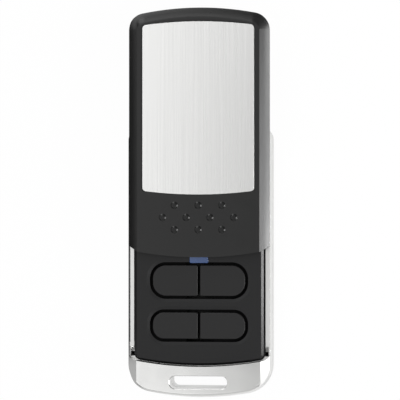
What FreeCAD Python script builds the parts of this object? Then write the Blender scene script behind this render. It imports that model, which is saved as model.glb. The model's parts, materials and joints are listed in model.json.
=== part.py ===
import FreeCAD, Part
import math
import os

import Sketcher

# Sliding-cover gate remote control, lying on its back, drawn in its open position.
# Millimetres. +X to the right, +Y towards the upper end, +Z towards the person's thumb.
# Origin: centre of the case in plan, on its flat back.

os.makedirs("parts", exist_ok=True)
doc = FreeCAD.newDocument("gate_remote")
Vector = FreeCAD.Vector


# Driving dimensions

DRIVING = [
    # Case in plan
    ("case_half_width", 18.97, "widest half width, on the metal frame"),
    ("case_half_length", 36.12, "origin to the crest of either end"),
    ("case_end_radius", 69.0, "crown of both ends"),
    ("case_corner_radius", 7.5, "plan corners of the key-ring end"),
    ("case_top_corner", 3.1, "plan corners of the upper end"),
    ("parting_height", 2.6, "rear housing meets the frame"),
    # Metal frame
    ("frame_end_wall", 1.5, "upper end wall of the frame"),
    ("rim_roll_width", 0.65, "rolled outer rim, seen from the front"),
    ("rim_roll_height", 2.4, "rolled outer rim, down the side"),
    ("ring_end_length", 8.36, "key-ring end, along Y"),
    ("ring_end_low", 1.0, "back of the key-ring end"),
    ("ring_end_sink", 0.3, "key-ring end below the front of the cover"),
    ("ring_edge_radius", 0.8, "soft outer edge of the key-ring end"),
    ("back_slope_width", 0.9, "slope of the key-ring end's back, across"),
    ("slot_half_length", 7.48, "key-ring slot, along X"),
    ("slot_half_width", 1.64, "key-ring slot, along Y"),
    ("slot_corner", 1.5, "ends of the key-ring slot"),
    ("slot_inset", 4.31, "lower crest to the middle of the slot"),
    ("ledge_inset", 13.36, "lower crest to the end of the ledges"),
    ("ledge_step_length", 1.15, "lower step at the end of the ledge"),
    ("ledge_step_depth", 0.3, "lower step at the end of the ledge"),
    ("rest_pocket_length", 2.5, "ledge to the far side of its pocket"),
    ("rest_pocket_wall", 0.3, "pocket to the side of the cover"),
    ("rest_slope_length", 1.4, "slope that leads down into the pocket"),
    ("rest_slope_depth", 0.8, "fall of that slope"),
    ("bed_corner", 2.3, "plan corners of the bed in the key-ring end"),
    # Sliding cover
    ("cover_inset", 0.64, "cover inside the outline of the case"),
    ("facet_width", 2.48, "sloping side facets, across"),
    ("facet_height", 3.0, "sloping side facets, down the side"),
    ("cover_overhang", 1.09, "closed cover beyond the upper crest"),
    ("cover_top_radius", 77.0, "crown of the upper end"),
    ("cover_top_corner", 4.5, "upper plan corners"),
    ("cover_top_edge_radius", 2.4, "soft front edge round the upper end"),
    ("cover_foot_radius", 90.0, "crown of the lower edge"),
    ("cover_foot_bevel_width", 2.4, "lower plan corners, across"),
    ("cover_foot_bevel_height", 1.5, "lower plan corners, along Y"),
    ("cover_side_wall", 1.25, "side wall at the foot"),
    ("cover_end_wall", 1.9, "upper end wall"),
    ("cover_roof", 1.85, "front wall of the cover"),
    ("cover_clearance", 0.35, "cover above the key plate"),
    ("cover_foot_gap", 0.3, "cover's foot above the ledge"),
    ("cover_slope_width", 0.95, "sloping inside corner of the cover, across"),
    ("slide_travel", 28.0, "open to closed"),
    ("closing_gap", 0.3, "closed cover to the key-ring end"),
    # Inlay
    ("inlay_border", 1.35, "inlay to the edges of the flat front"),
    ("inlay_top_border", 3.74, "inlay to the cover's upper crest"),
    ("inlay_foot_border", 16.18, "inlay to the cover's lower crest"),
    ("inlay_end_radius", 111.0, "crown of both ends"),
    ("inlay_corner", 1.0, "its corners"),
    ("inlay_thickness", 0.7, "metal sheet"),
    ("inlay_gap", 0.12, "joint line round the inlay"),
    ("inlay_sink", 0.05, "inlay below the front of the cover"),
    ("adhesive_thickness", 0.15, "film under the inlay"),
    # Grip pips
    ("pip_radius", 0.98, "grip pip"),
    ("pip_height", 0.32, "pip above the cover"),
    ("pip_edge_radius", 0.28, "soft edge of a pip"),
    ("pip_pitch", 6.16, "pip spacing across"),
    ("pip_row_pitch", 3.13, "pip spacing between rows"),
    ("pip_border", 10.28, "middle row to the cover's lower crest"),
    # Front housing
    ("plate_height", 2.1, "key plate above the ledges"),
    ("plate_thickness", 1.5, "key plate"),
    ("plate_slope_width", 0.58, "facet round the key plate, across"),
    ("plate_slope_height", 0.7, "facet round the key plate, down"),
    ("plate_foot_gap", 0.21, "key plate to the key-ring end"),
    ("plate_corner", 1.7, "lower plan corners"),
    ("shell_top_corner", 4.7, "upper plan corners of both housings"),
    ("housing_wall", 2.25, "wall with the runner's groove"),
    ("fit_gap", 0.1, "case parts side by side"),
    # Runners and their slits
    ("runner_sheet", 0.2, "thickness of the runners"),
    ("runner_gap", 0.1, "runner to the sides of its slit"),
    ("runner_depth", 1.5, "ledge to the underside of the runner's foot"),
    ("runner_foot_width", 1.4, "runner's foot, across"),
    ("runner_headroom", 0.25, "runner's foot to its groove"),
    ("runner_grip", 0.9, "runner flat against the cover's side"),
    ("slit_margin", 1.8, "slit to the end of the ledge"),
    ("slit_inset", 7.96, "slit to the upper crest of the case"),
    ("stop_gap", 0.3, "runner to the end of its slit"),
    # Keys
    ("lower_keys_inset", 18.87, "lower crest to the middle of the lower pair"),
    ("keys_pitch", 11.69, "lower pair to upper pair"),
    ("upper_keys_half_height", 4.76, "upper opening, along Y"),
    ("lower_keys_half_height", 4.2, "lower opening, along Y"),
    ("keys_border", 3.98, "openings to the sides of the key plate"),
    ("upper_keys_corner", 4.2, "corners of the upper opening"),
    ("lower_keys_corner", 3.7, "corners of the lower opening"),
    ("key_gap", 0.78, "opening to key"),
    ("key_split", 0.6, "between two keys of a pair"),
    ("key_inner_corner", 0.35, "corners at the split"),
    ("key_sink", 0.05, "key below the front of the plate"),
    ("key_edge_radius", 0.2, "soft front edge of a key"),
    ("key_dish_width", 0.8, "bevel round the openings, across"),
    ("key_dish_depth", 0.2, "bevel round the openings, down"),
    ("key_flange", 0.35, "key's flange under the plate"),
    ("key_flange_inset", 3.1, "flange to the key's inner side"),
    ("key_flange_thickness", 0.7, "key's flange"),
    ("key_flange_gap", 0.06, "flange to the plate"),
    ("key_post_radius", 1.2, "post under a key"),
    ("key_post_length", 0.44, "post below the flange"),
    ("key_travel", 0.45, "key's travel"),
    # Light window
    ("window_half_width", 2.45, "light window, along X"),
    ("window_length", 1.85, "light window, above the upper opening"),
    ("window_reach", 0.2, "light window, into the upper opening"),
    ("window_corner", 0.4, "its corners"),
    ("window_gap", 0.03, "window to its opening"),
    ("window_neck_half_width", 1.5, "light pipe below the plate"),
    ("window_neck_inset", 0.3, "neck inside the window, along Y"),
    # Rear housing
    ("rear_inset", 0.45, "rear housing inside the case outline"),
    ("rear_foot_inset", 7.16, "lower crest to the rear housing's lower end"),
    ("rear_floor", 1.5, "floor of the rear housing"),
    ("rear_rim_gap", 0.2, "rear rim below the board"),
    ("rear_wall", 1.5, "rim wall of the rear housing"),
    ("cavity_top_corner", 5.0, "upper plan corners inside both housings"),
    ("rear_edge_radius", 0.9, "soft edge round the back"),
    ("seal_width", 0.9, "case seal, across"),
    ("seal_height", 0.6, "case seal, between the housings"),
    # Circuit board
    ("contact_space", 0.9, "coin cell to the board"),
    ("board_thickness", 0.8, "board"),
    ("board_gap", 0.4, "board to the walls"),
    ("board_boss_gap", 0.3, "board to the lower bosses"),
    ("board_corner", 1.0, "board corners"),
    # Case screws
    ("screw_side_inset", 2.5, "case screws to the side walls"),
    ("screw_top_inset", 4.2, "upper case screws to the upper wall"),
    ("screw_foot_inset", 2.55, "lower case screws to the lower wall"),
    ("screw_radius", 0.9, "screw shank"),
    ("screw_head_radius", 1.75, "screw head"),
    ("screw_head_height", 1.0, "screw head"),
    ("screw_head_sink", 0.3, "screw head below the back"),
    ("screw_tip_inset", 0.9, "screw tip below the key plate"),
    ("screw_bite", 0.02, "screw to its pilot hole"),
    ("screw_clear", 0.15, "screw to its clearance holes"),
    ("boss_radius", 2.1, "screw bosses"),
    # Switches
    ("switch_half", 2.3, "switch body, half its side"),
    ("switch_height", 1.5, "switch body"),
    ("plunger_radius", 1.0, "switch plunger"),
    ("plunger_gap", 0.08, "plunger to its hole"),
    ("key_stop_gap", 0.15, "pressed key to its switch"),
    ("plunger_length", 1.0, "whole plunger"),
    # Battery and its cap
    ("battery_y", 14.0, "battery centre, along Y"),
    ("battery_radius", 10.0, "coin cell, 20 mm"),
    ("battery_height", 3.2, "coin cell, 3.2 mm"),
    ("battery_step", 1.1, "coin cell's smaller pole, step in"),
    ("battery_step_height", 0.4, "coin cell's smaller pole, height"),
    ("cap_cup_gap", 0.3, "coin cell to the side of the cap's cup"),
    ("cap_collar_wall", 1.3, "wall of the cap's collar"),
    ("cap_flange_width", 1.0, "cap's flange beyond its collar"),
    ("cap_gap", 0.15, "cap to the rear housing"),
    ("cap_sink", 0.05, "cap inside the back face"),
    ("cap_flange", 0.6, "cap's flange, thickness"),
    ("cap_floor", 0.95, "cap's thickness under the battery"),
    ("lug_height", 0.7, "bayonet lug"),
    ("lug_reach", 1.1, "bayonet lug beyond the collar"),
    ("lug_half_width", 2.2, "bayonet lug, half its width"),
    ("lug_gap", 0.1, "lug to the floor it holds on"),
    ("lug_notch_gap", 0.4, "lug to its entry notch"),
    ("coin_slot_half_length", 6.5, "coin slot in the cap"),
    ("coin_slot_half_width", 0.9, "coin slot in the cap"),
    ("coin_slot_depth", 0.6, "coin slot in the cap"),
    ("coin_slot_corner", 0.8, "ends of the coin slot"),
    ("cap_seal_width", 0.6, "seal under the cap's flange"),
    ("cap_seal_thickness", 0.14, "seal under the cap's flange"),
    # Battery contacts
    ("contact_sheet", 0.2, "contact springs"),
    ("contact_half_width", 2.0, "contact springs"),
    ("contact_length", 7.0, "negative contact, along Y"),
    # Detent spring
    ("detent_y", 24.0, "detent spring, along Y"),
    ("detent_half_length", 3.6, "detent spring, along Y"),
    ("detent_half_width", 1.2, "detent spring, across"),
    ("detent_sheet", 0.2, "detent spring sheet"),
    ("detent_pocket_depth", 0.6, "its pocket in the key plate"),
    ("detent_height", 0.75, "crown of the detent spring"),
    ("detent_dimple_radius", 0.9, "hollows inside the cover"),
    ("detent_dimple_depth", 0.3, "hollows inside the cover"),
    # Parts on the board
    ("antenna_border", 1.3, "loop antenna to the board's sides"),
    ("antenna_boss_gap", 0.4, "loop antenna to the upper bosses"),
    ("antenna_length", 22.4, "loop antenna, along Y"),
    ("antenna_strip", 1.0, "loop antenna strip"),
    ("antenna_height", 0.3, "loop antenna above the board"),
    ("antenna_corner", 2.0, "loop antenna corners"),
    ("led_half_length", 0.8, "indicator light"),
    ("led_half_width", 0.45, "indicator light"),
    ("led_height", 0.75, "indicator light"),
    ("upper_row_inset", 6.4, "radio chip and crystal to the antenna's upper edge"),
    ("row_pitch", 11.0, "that row to the controller's"),
    ("chip_half", 2.5, "controller chip"),
    ("chip_height", 0.9, "controller chip"),
    ("chip_x", 5.2, "controller chip, along X"),
    ("radio_half", 2.0, "radio chip"),
    ("radio_height", 0.8, "radio chip"),
    ("radio_x", -5.0, "radio chip, along X"),
    ("crystal_half_length", 2.5, "crystal can"),
    ("crystal_half_width", 1.6, "crystal can"),
    ("crystal_corner", 1.44, "round ends of the crystal can"),
    ("crystal_height", 1.1, "crystal can"),
    ("crystal_x", 4.0, "crystal can, along X"),
    ("passive_half_length", 0.8, "small board part"),
    ("passive_half_width", 0.4, "small board part"),
    ("passive_height", 0.55, "small board part"),
    ("passive_pitch", 2.2, "small board parts, apart"),
    ("passive_x", -5.6, "small board parts, along X"),
]


class Size(float):
    """A length with the sheet expression that it comes from."""

    def __new__(cls, value, text):
        size = super().__new__(cls, value)
        size.text = text
        return size

    @staticmethod
    def text_of(other):
        return other.text if isinstance(other, Size) else repr(float(other))

    def __add__(self, other):
        return Size(float(self) + float(other), f"({self.text} + {Size.text_of(other)})")

    def __sub__(self, other):
        return Size(float(self) - float(other), f"({self.text} - {Size.text_of(other)})")

    def __mul__(self, other):
        return Size(float(self) * float(other), f"({self.text} * {Size.text_of(other)})")

    def __truediv__(self, other):
        return Size(float(self) / float(other), f"({self.text} / {Size.text_of(other)})")

    def __neg__(self):
        return Size(-float(self), f"(0 - {self.text})")

    def __radd__(self, other):
        return Size(float(other), repr(float(other))) + self

    def __rsub__(self, other):
        return Size(float(other), repr(float(other))) - self


class Sizes:
    """Every driving dimension by name."""


sheet = doc.addObject("Spreadsheet::Sheet", "Sizes")
S = Sizes()
for row, (alias, number, meaning) in enumerate(DRIVING, start=1):
    sheet.set(f"A{row}", meaning)
    sheet.set(f"B{row}", str(number))
    sheet.setAlias(f"B{row}", alias)
    setattr(S, alias, Size(number, f"Sizes.{alias}"))
doc.recompute()


# Widths shared by pieces that meet, from the frame inwards

cover_half_width = S.case_half_width - S.cover_inset
cover_face_half_width = cover_half_width - S.facet_width
inlay_half_width = cover_face_half_width - S.inlay_border
cover_inner_half_width = cover_half_width - S.cover_side_wall
runner_outer = cover_inner_half_width
runner_inner = runner_outer - S.runner_sheet
plate_half_width = runner_inner - S.runner_gap
frame_inner_half_width = runner_outer + S.runner_gap
shell_half_width = frame_inner_half_width - S.fit_gap
keys_half_width = plate_half_width - S.keys_border
cavity_half_width = shell_half_width - S.housing_wall
rear_half_width = S.case_half_width - S.rear_inset
screw_x = cavity_half_width - S.screw_side_inset
board_half_width = cavity_half_width - S.board_gap
antenna_half_width = board_half_width - S.antenna_border
key_inner_x = S.key_split / 2
key_outer_x = keys_half_width - S.key_gap
key_middle_x = (key_inner_x + key_outer_x) / 2

# Places along Y, from the two ends of the case

rear_top = S.case_half_length - S.rear_inset
frame_inner_top = S.case_half_length - S.frame_end_wall
shell_top = frame_inner_top - S.fit_gap
plate_top = shell_top - S.fit_gap
cavity_top = shell_top - S.rear_wall
board_end = cavity_top - S.board_gap
bed_foot = S.ring_end_length - S.case_half_length
plate_foot = bed_foot + S.plate_foot_gap
frame_inner_foot = plate_foot - S.fit_gap
cavity_foot = plate_foot + S.rear_wall
rear_foot = S.rear_foot_inset - S.case_half_length
slot_centre = S.slot_inset - S.case_half_length
ledge_end = S.ledge_inset - S.case_half_length
slit_low = ledge_end + S.slit_margin
slit_high = S.case_half_length - S.slit_inset
runner_high = slit_high - S.stop_gap
runner_foot_end = slit_low + S.slide_travel + S.stop_gap
cover_foot = bed_foot + S.closing_gap + S.slide_travel
cover_top = S.case_half_length + S.cover_overhang + S.slide_travel
inlay_top = cover_top - S.inlay_top_border
inlay_foot = cover_foot + S.inlay_foot_border
pip_middle_row = cover_foot + S.pip_border
lower_keys_centre = S.lower_keys_inset - S.case_half_length
upper_keys_centre = lower_keys_centre + S.keys_pitch
upper_keys_high = upper_keys_centre + S.upper_keys_half_height
window_high = upper_keys_high + S.window_length
window_low = upper_keys_high - S.window_reach
screw_high = cavity_top - S.screw_top_inset
screw_foot = cavity_foot + S.screw_foot_inset
board_foot = screw_foot + S.boss_radius + S.board_boss_gap
antenna_high = screw_high - S.boss_radius - S.antenna_boss_gap
antenna_foot = antenna_high - S.antenna_length
upper_row_y = antenna_high - S.upper_row_inset
lower_row_y = upper_row_y - S.row_pitch
dimple_closed_y = S.detent_y + S.slide_travel

# Heights, stacked up from the back

cap_flange_top = S.cap_sink + S.cap_flange
counterbore_height = cap_flange_top + S.cap_gap
lug_low = S.rear_floor + S.lug_gap
collar_top = lug_low + S.lug_height
battery_low = S.cap_floor + S.cap_gap
battery_top = battery_low + S.battery_height
board_low = battery_top + S.contact_space
board_top = board_low + S.board_thickness
rear_rim_height = board_low - S.rear_rim_gap
housing_low = rear_rim_height + S.seal_height
switch_top = board_top + S.switch_height
plunger_top = switch_top + S.key_travel + S.key_stop_gap
flange_low = plunger_top + S.key_post_length
flange_top = flange_low + S.key_flange_thickness
plate_underside = flange_top + S.key_flange_gap
screw_tip = plate_underside - S.screw_tip_inset
keypad_height = plate_underside + S.plate_thickness
key_top = keypad_height - S.key_sink
detent_floor = keypad_height - S.detent_pocket_depth
plate_shoulder = keypad_height - S.plate_slope_height
ledge_height = keypad_height - S.plate_height
runner_low = ledge_height - S.runner_depth
cover_foot_height = ledge_height + S.cover_foot_gap
runner_top = cover_foot_height + S.runner_grip
cover_ceiling = keypad_height + S.cover_clearance
cover_height = cover_ceiling + S.cover_roof
ring_end_height = cover_height - S.ring_end_sink
inlay_face = cover_height - S.inlay_sink
inlay_low = inlay_face - S.inlay_thickness
recess_floor = inlay_low - S.adhesive_thickness

# Radii round the battery

cap_cup_radius = S.battery_radius + S.cap_cup_gap
cap_collar_radius = cap_cup_radius + S.cap_collar_wall
cap_radius = cap_collar_radius + S.cap_flange_width
cap_opening_radius = cap_collar_radius + S.cap_gap
counterbore_radius = cap_radius + S.cap_gap
lug_radius = cap_collar_radius + S.lug_reach

PASSIVE_ROWS = 3
PASSIVE_COLUMNS = 2
LUG_COUNT = 3
LUG_TURN_ANGLE = 45.0
PIP_COUNTS = (3, 4, 3)
OVERLAP = 1.0
TOLERANCE = 1e-4


# Sketch helpers

def base_plane(body, role):
    return [feature for feature in body.Origin.OriginFeatures if feature.Role == role][0]


def new_body(label):
    body = doc.addObject("PartDesign::Body", label)
    body.Label = label
    return body


def new_sketch(body, name, height, plane="XY_Plane"):
    """A sketch on one of the body's base planes, moved along its normal."""
    sketch = body.newObject("Sketcher::SketchObject", name)
    sketch.AttachmentSupport = [(base_plane(body, plane), "")]
    sketch.MapMode = "FlatFace"
    if isinstance(height, Size):
        sketch.setExpression("AttachmentOffset.Base.z", height.text)
    return sketch


def constrain(sketch, kind, *references):
    """Adds a constraint; a Size at the end is bound to the sheet."""
    size = references[-1]
    index = sketch.addConstraint(Sketcher.Constraint(kind, *references[:-1], float(size)))
    if isinstance(size, Size):
        sketch.setExpression(f"Constraints[{index}]", size.text)


def relate(sketch, kind, *references):
    sketch.addConstraint(Sketcher.Constraint(kind, *references))


def place_point(sketch, geometry, point, x, y):
    constrain(sketch, "DistanceX", -1, 1, geometry, point, x)
    constrain(sketch, "DistanceY", -1, 1, geometry, point, y)


def line(sketch, start, end):
    return sketch.addGeometry(Part.LineSegment(Vector(*start, 0), Vector(*end, 0)), False)


def arc(sketch, centre, radius, first, last):
    circle = Part.Circle(Vector(*centre, 0), Vector(0, 0, 1), float(radius))
    return sketch.addGeometry(Part.ArcOfCircle(circle, first, last), False)


def chain(sketch, pieces, kinds):
    """Joins the end of each piece to the start of the next."""
    for index, kind in enumerate(kinds):
        following = pieces[(index + 1) % len(pieces)]
        relate(sketch, kind, pieces[index], 2, following, 1)


def add_circle(sketch, x, y, radius):
    centre = Vector(float(x), float(y), 0)
    circle = sketch.addGeometry(Part.Circle(centre, Vector(0, 0, 1), float(radius)), False)
    constrain(sketch, "Radius", circle, radius)
    if float(x) == 0:
        relate(sketch, "PointOnObject", circle, 3, -2)
        constrain(sketch, "DistanceY", -1, 1, circle, 3, y)
    else:
        place_point(sketch, circle, 3, x, y)


def crown_corner(half_width, radius, corner):
    """How far a corner's centre lies from the crown's centre, and its angle."""
    across = float(half_width) - float(corner)
    along = math.sqrt((float(radius) - float(corner)) ** 2 - across ** 2)
    return across, along, math.atan2(along, across)


def add_slab(sketch, half_width, top, top_radius, top_corner, foot, foot_radius, foot_corner):
    """Outline with straight sides, crowned ends and round corners."""
    across, along, lift = crown_corner(half_width, top_radius, top_corner)
    top_centre = float(top) - float(top_radius)
    top_y = top_centre + along
    low_across, low_along, dip = crown_corner(half_width, foot_radius, foot_corner)
    foot_centre = float(foot) + float(foot_radius)
    foot_y = foot_centre - low_along
    side = float(half_width)
    right = line(sketch, (side, foot_y), (side, top_y))
    top_right = arc(sketch, (across, top_y), top_corner, 0, lift)
    crown = arc(sketch, (0, top_centre), top_radius, lift, math.pi - lift)
    top_left = arc(sketch, (-across, top_y), top_corner, math.pi - lift, math.pi)
    left = line(sketch, (-side, top_y), (-side, foot_y))
    foot_left = arc(sketch, (-low_across, foot_y), foot_corner, math.pi, math.pi + dip)
    bowl = arc(sketch, (0, foot_centre), foot_radius, math.pi + dip, 2 * math.pi - dip)
    foot_right = arc(sketch, (low_across, foot_y), foot_corner, 2 * math.pi - dip, 2 * math.pi)
    loop = [right, top_right, crown, top_left, left, foot_left, bowl, foot_right]
    chain(sketch, loop, ["Tangent"] * len(loop))
    relate(sketch, "Vertical", right)
    relate(sketch, "Vertical", left)
    constrain(sketch, "DistanceX", -1, 1, right, 2, half_width)
    constrain(sketch, "DistanceX", left, 1, -1, 1, half_width)
    for ends, centre_y, radius in ((crown, top - top_radius, top_radius),
                                   (bowl, foot + foot_radius, foot_radius)):
        relate(sketch, "PointOnObject", ends, 3, -2)
        constrain(sketch, "DistanceY", -1, 1, ends, 3, centre_y)
        constrain(sketch, "Radius", ends, radius)
    for piece in (top_right, top_left):
        constrain(sketch, "Radius", piece, top_corner)
    for piece in (foot_left, foot_right):
        constrain(sketch, "Radius", piece, foot_corner)


def add_foot_cut(sketch, half_width, foot, foot_radius, bevel_width, bevel_height, reach, low):
    """Everything below a crowned lower end with bevelled corners."""
    side = float(half_width)
    across = side - float(bevel_width)
    dip = math.acos(across / float(foot_radius))
    centre_y = float(foot) + float(foot_radius)
    inner_y = centre_y - float(foot_radius) * math.sin(dip)
    outer_y = inner_y + float(bevel_height)
    left_bevel = line(sketch, (-side, outer_y), (-across, inner_y))
    bowl = arc(sketch, (0, centre_y), foot_radius, math.pi + dip, 2 * math.pi - dip)
    right_bevel = line(sketch, (across, inner_y), (side, outer_y))
    right_out = line(sketch, (side, outer_y), (float(reach), outer_y))
    right_down = line(sketch, (float(reach), outer_y), (float(reach), float(low)))
    bottom = line(sketch, (float(reach), float(low)), (-float(reach), float(low)))
    left_up = line(sketch, (-float(reach), float(low)), (-float(reach), outer_y))
    left_in = line(sketch, (-float(reach), outer_y), (-side, outer_y))
    loop = [left_bevel, bowl, right_bevel, right_out, right_down, bottom, left_up, left_in]
    chain(sketch, loop, ["Coincident"] * len(loop))
    relate(sketch, "PointOnObject", bowl, 3, -2)
    constrain(sketch, "DistanceY", -1, 1, bowl, 3, foot + foot_radius)
    constrain(sketch, "Radius", bowl, foot_radius)
    constrain(sketch, "DistanceX", -1, 1, right_bevel, 2, half_width)
    constrain(sketch, "DistanceX", left_bevel, 1, -1, 1, half_width)
    constrain(sketch, "DistanceX", right_bevel, 1, right_bevel, 2, bevel_width)
    constrain(sketch, "DistanceX", left_bevel, 1, left_bevel, 2, bevel_width)
    constrain(sketch, "DistanceY", right_bevel, 1, right_bevel, 2, bevel_height)
    constrain(sketch, "DistanceY", left_bevel, 2, left_bevel, 1, bevel_height)
    for piece in (right_out, bottom, left_in):
        relate(sketch, "Horizontal", piece)
    for piece in (right_down, left_up):
        relate(sketch, "Vertical", piece)
    constrain(sketch, "DistanceX", -1, 1, right_down, 1, reach)
    constrain(sketch, "DistanceX", left_up, 1, -1, 1, reach)
    constrain(sketch, "DistanceY", -1, 1, bottom, 1, low)


def add_box(sketch, x_low, x_high, y_low, y_high, left_corner=None, right_corner=None):
    """A rectangle, with round corners where a radius is given."""
    x0, x1, y0, y1 = (float(value) for value in (x_low, x_high, y_low, y_high))
    left = float(left_corner or 0)
    right = float(right_corner or 0)
    foot = line(sketch, (x0 + left, y0), (x1 - right, y0))
    east = line(sketch, (x1, y0 + right), (x1, y1 - right))
    top = line(sketch, (x1 - right, y1), (x0 + left, y1))
    west = line(sketch, (x0, y1 - left), (x0, y0 + left))
    relate(sketch, "Horizontal", foot)
    relate(sketch, "Horizontal", top)
    relate(sketch, "Vertical", east)
    relate(sketch, "Vertical", west)
    if right_corner is None:
        relate(sketch, "Coincident", foot, 2, east, 1)
        relate(sketch, "Coincident", east, 2, top, 1)
    else:
        low = arc(sketch, (x1 - right, y0 + right), right, 1.5 * math.pi, 2 * math.pi)
        high = arc(sketch, (x1 - right, y1 - right), right, 0, 0.5 * math.pi)
        for before, corner, after in ((foot, low, east), (east, high, top)):
            relate(sketch, "Tangent", before, 2, corner, 1)
            relate(sketch, "Tangent", corner, 2, after, 1)
            constrain(sketch, "Radius", corner, right_corner)
    if left_corner is None:
        relate(sketch, "Coincident", top, 2, west, 1)
        relate(sketch, "Coincident", west, 2, foot, 1)
    else:
        high = arc(sketch, (x0 + left, y1 - left), left, 0.5 * math.pi, math.pi)
        low = arc(sketch, (x0 + left, y0 + left), left, math.pi, 1.5 * math.pi)
        for before, corner, after in ((top, high, west), (west, low, foot)):
            relate(sketch, "Tangent", before, 2, corner, 1)
            relate(sketch, "Tangent", corner, 2, after, 1)
            constrain(sketch, "Radius", corner, left_corner)
    constrain(sketch, "DistanceY", -1, 1, foot, 1, y_low)
    constrain(sketch, "DistanceY", -1, 1, top, 1, y_high)
    constrain(sketch, "DistanceX", -1, 1, east, 1, x_high)
    constrain(sketch, "DistanceX", -1, 1, west, 1, x_low)


def sided_box(sketch, side, inner, outer, y_low, y_high, inner_corner=None, outer_corner=None):
    """A rectangle right or left of the middle, given from the middle outwards."""
    if side > 0:
        add_box(sketch, inner, outer, y_low, y_high, inner_corner, outer_corner)
    else:
        add_box(sketch, -outer, -inner, y_low, y_high, outer_corner, inner_corner)


def add_polygon(sketch, points):
    """A closed outline through corners given by sizes."""
    count = len(points)
    numbers = [(float(x), float(y)) for x, y in points]
    sides = [line(sketch, numbers[i], numbers[(i + 1) % count]) for i in range(count)]
    chain(sketch, sides, ["Coincident"] * count)
    for side, (x, y) in zip(sides, points):
        place_point(sketch, side, 1, x, y)


# Feature helpers

def raise_pad(body, name, draw, low, high, plane="XY_Plane", taper=None):
    """Pads what draw puts in a sketch at low, up to high."""
    sketch = new_sketch(body, f"{name}_sketch", low, plane)
    draw(sketch)
    pad = body.newObject("PartDesign::Pad", name)
    pad.Profile = sketch
    pad.setExpression("Length", (high - low).text)
    if taper is not None:
        pad.setExpression("TaperAngle", taper)
    doc.recompute()
    return pad


def cut_pocket(body, name, draw, low, high, taper=None, plane="XY_Plane"):
    """Cuts what draw puts in a sketch at high, down to low."""
    before = body.Shape.Volume
    sketch = new_sketch(body, f"{name}_sketch", high, plane)
    draw(sketch)
    pocket = body.newObject("PartDesign::Pocket", name)
    pocket.Profile = sketch
    pocket.setExpression("Length", (high - low).text)
    if taper is not None:
        pocket.setExpression("TaperAngle", taper)
    doc.recompute()
    if not body.Shape.Volume < before:
        raise RuntimeError(f"{name} cuts nothing")
    return pocket


def along_y_pad(body, name, draw, low, high):
    """Pads a section drawn in X and Z from high back to low along Y."""
    sketch = new_sketch(body, f"{name}_sketch", -high, "XZ_Plane")
    draw(sketch)
    pad = body.newObject("PartDesign::Pad", name)
    pad.Profile = sketch
    pad.setExpression("Length", (high - low).text)
    doc.recompute()
    return pad


def along_y_pocket(body, name, draw, low, high):
    """Cuts a section drawn in X and Z between two places along Y."""
    before = body.Shape.Volume
    sketch = new_sketch(body, f"{name}_sketch", -low, "XZ_Plane")
    draw(sketch)
    pocket = body.newObject("PartDesign::Pocket", name)
    pocket.Profile = sketch
    pocket.setExpression("Length", (high - low).text)
    doc.recompute()
    if not body.Shape.Volume < before:
        raise RuntimeError(f"{name} cuts nothing")
    return pocket


def edges_where(feature, test):
    return [f"Edge{i}" for i, edge in enumerate(feature.Shape.Edges, start=1) if test(edge)]


def level_edge(height):
    """True for an edge that lies wholly at one height."""
    def test(edge):
        box = edge.BoundBox
        return abs(box.ZMin - float(height)) < TOLERANCE and abs(box.ZMax - float(height)) < TOLERANCE
    return test


def round_edges(body, name, feature, test, radius):
    fillet = body.newObject("PartDesign::Fillet", name)
    fillet.Base = (feature, edges_where(feature, test))
    fillet.setExpression("Radius", radius.text)
    doc.recompute()
    return fillet


def case_outline(sketch, inset=None):
    """The case in plan, or the same outline a little inside it."""
    step = inset if inset is not None else S.fit_gap * 0
    add_slab(sketch, S.case_half_width - step,
             S.case_half_length - step, S.case_end_radius - step, S.case_top_corner - step,
             step - S.case_half_length, S.case_end_radius - step, S.case_corner_radius - step)


# Metal frame with the key-ring end

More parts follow.
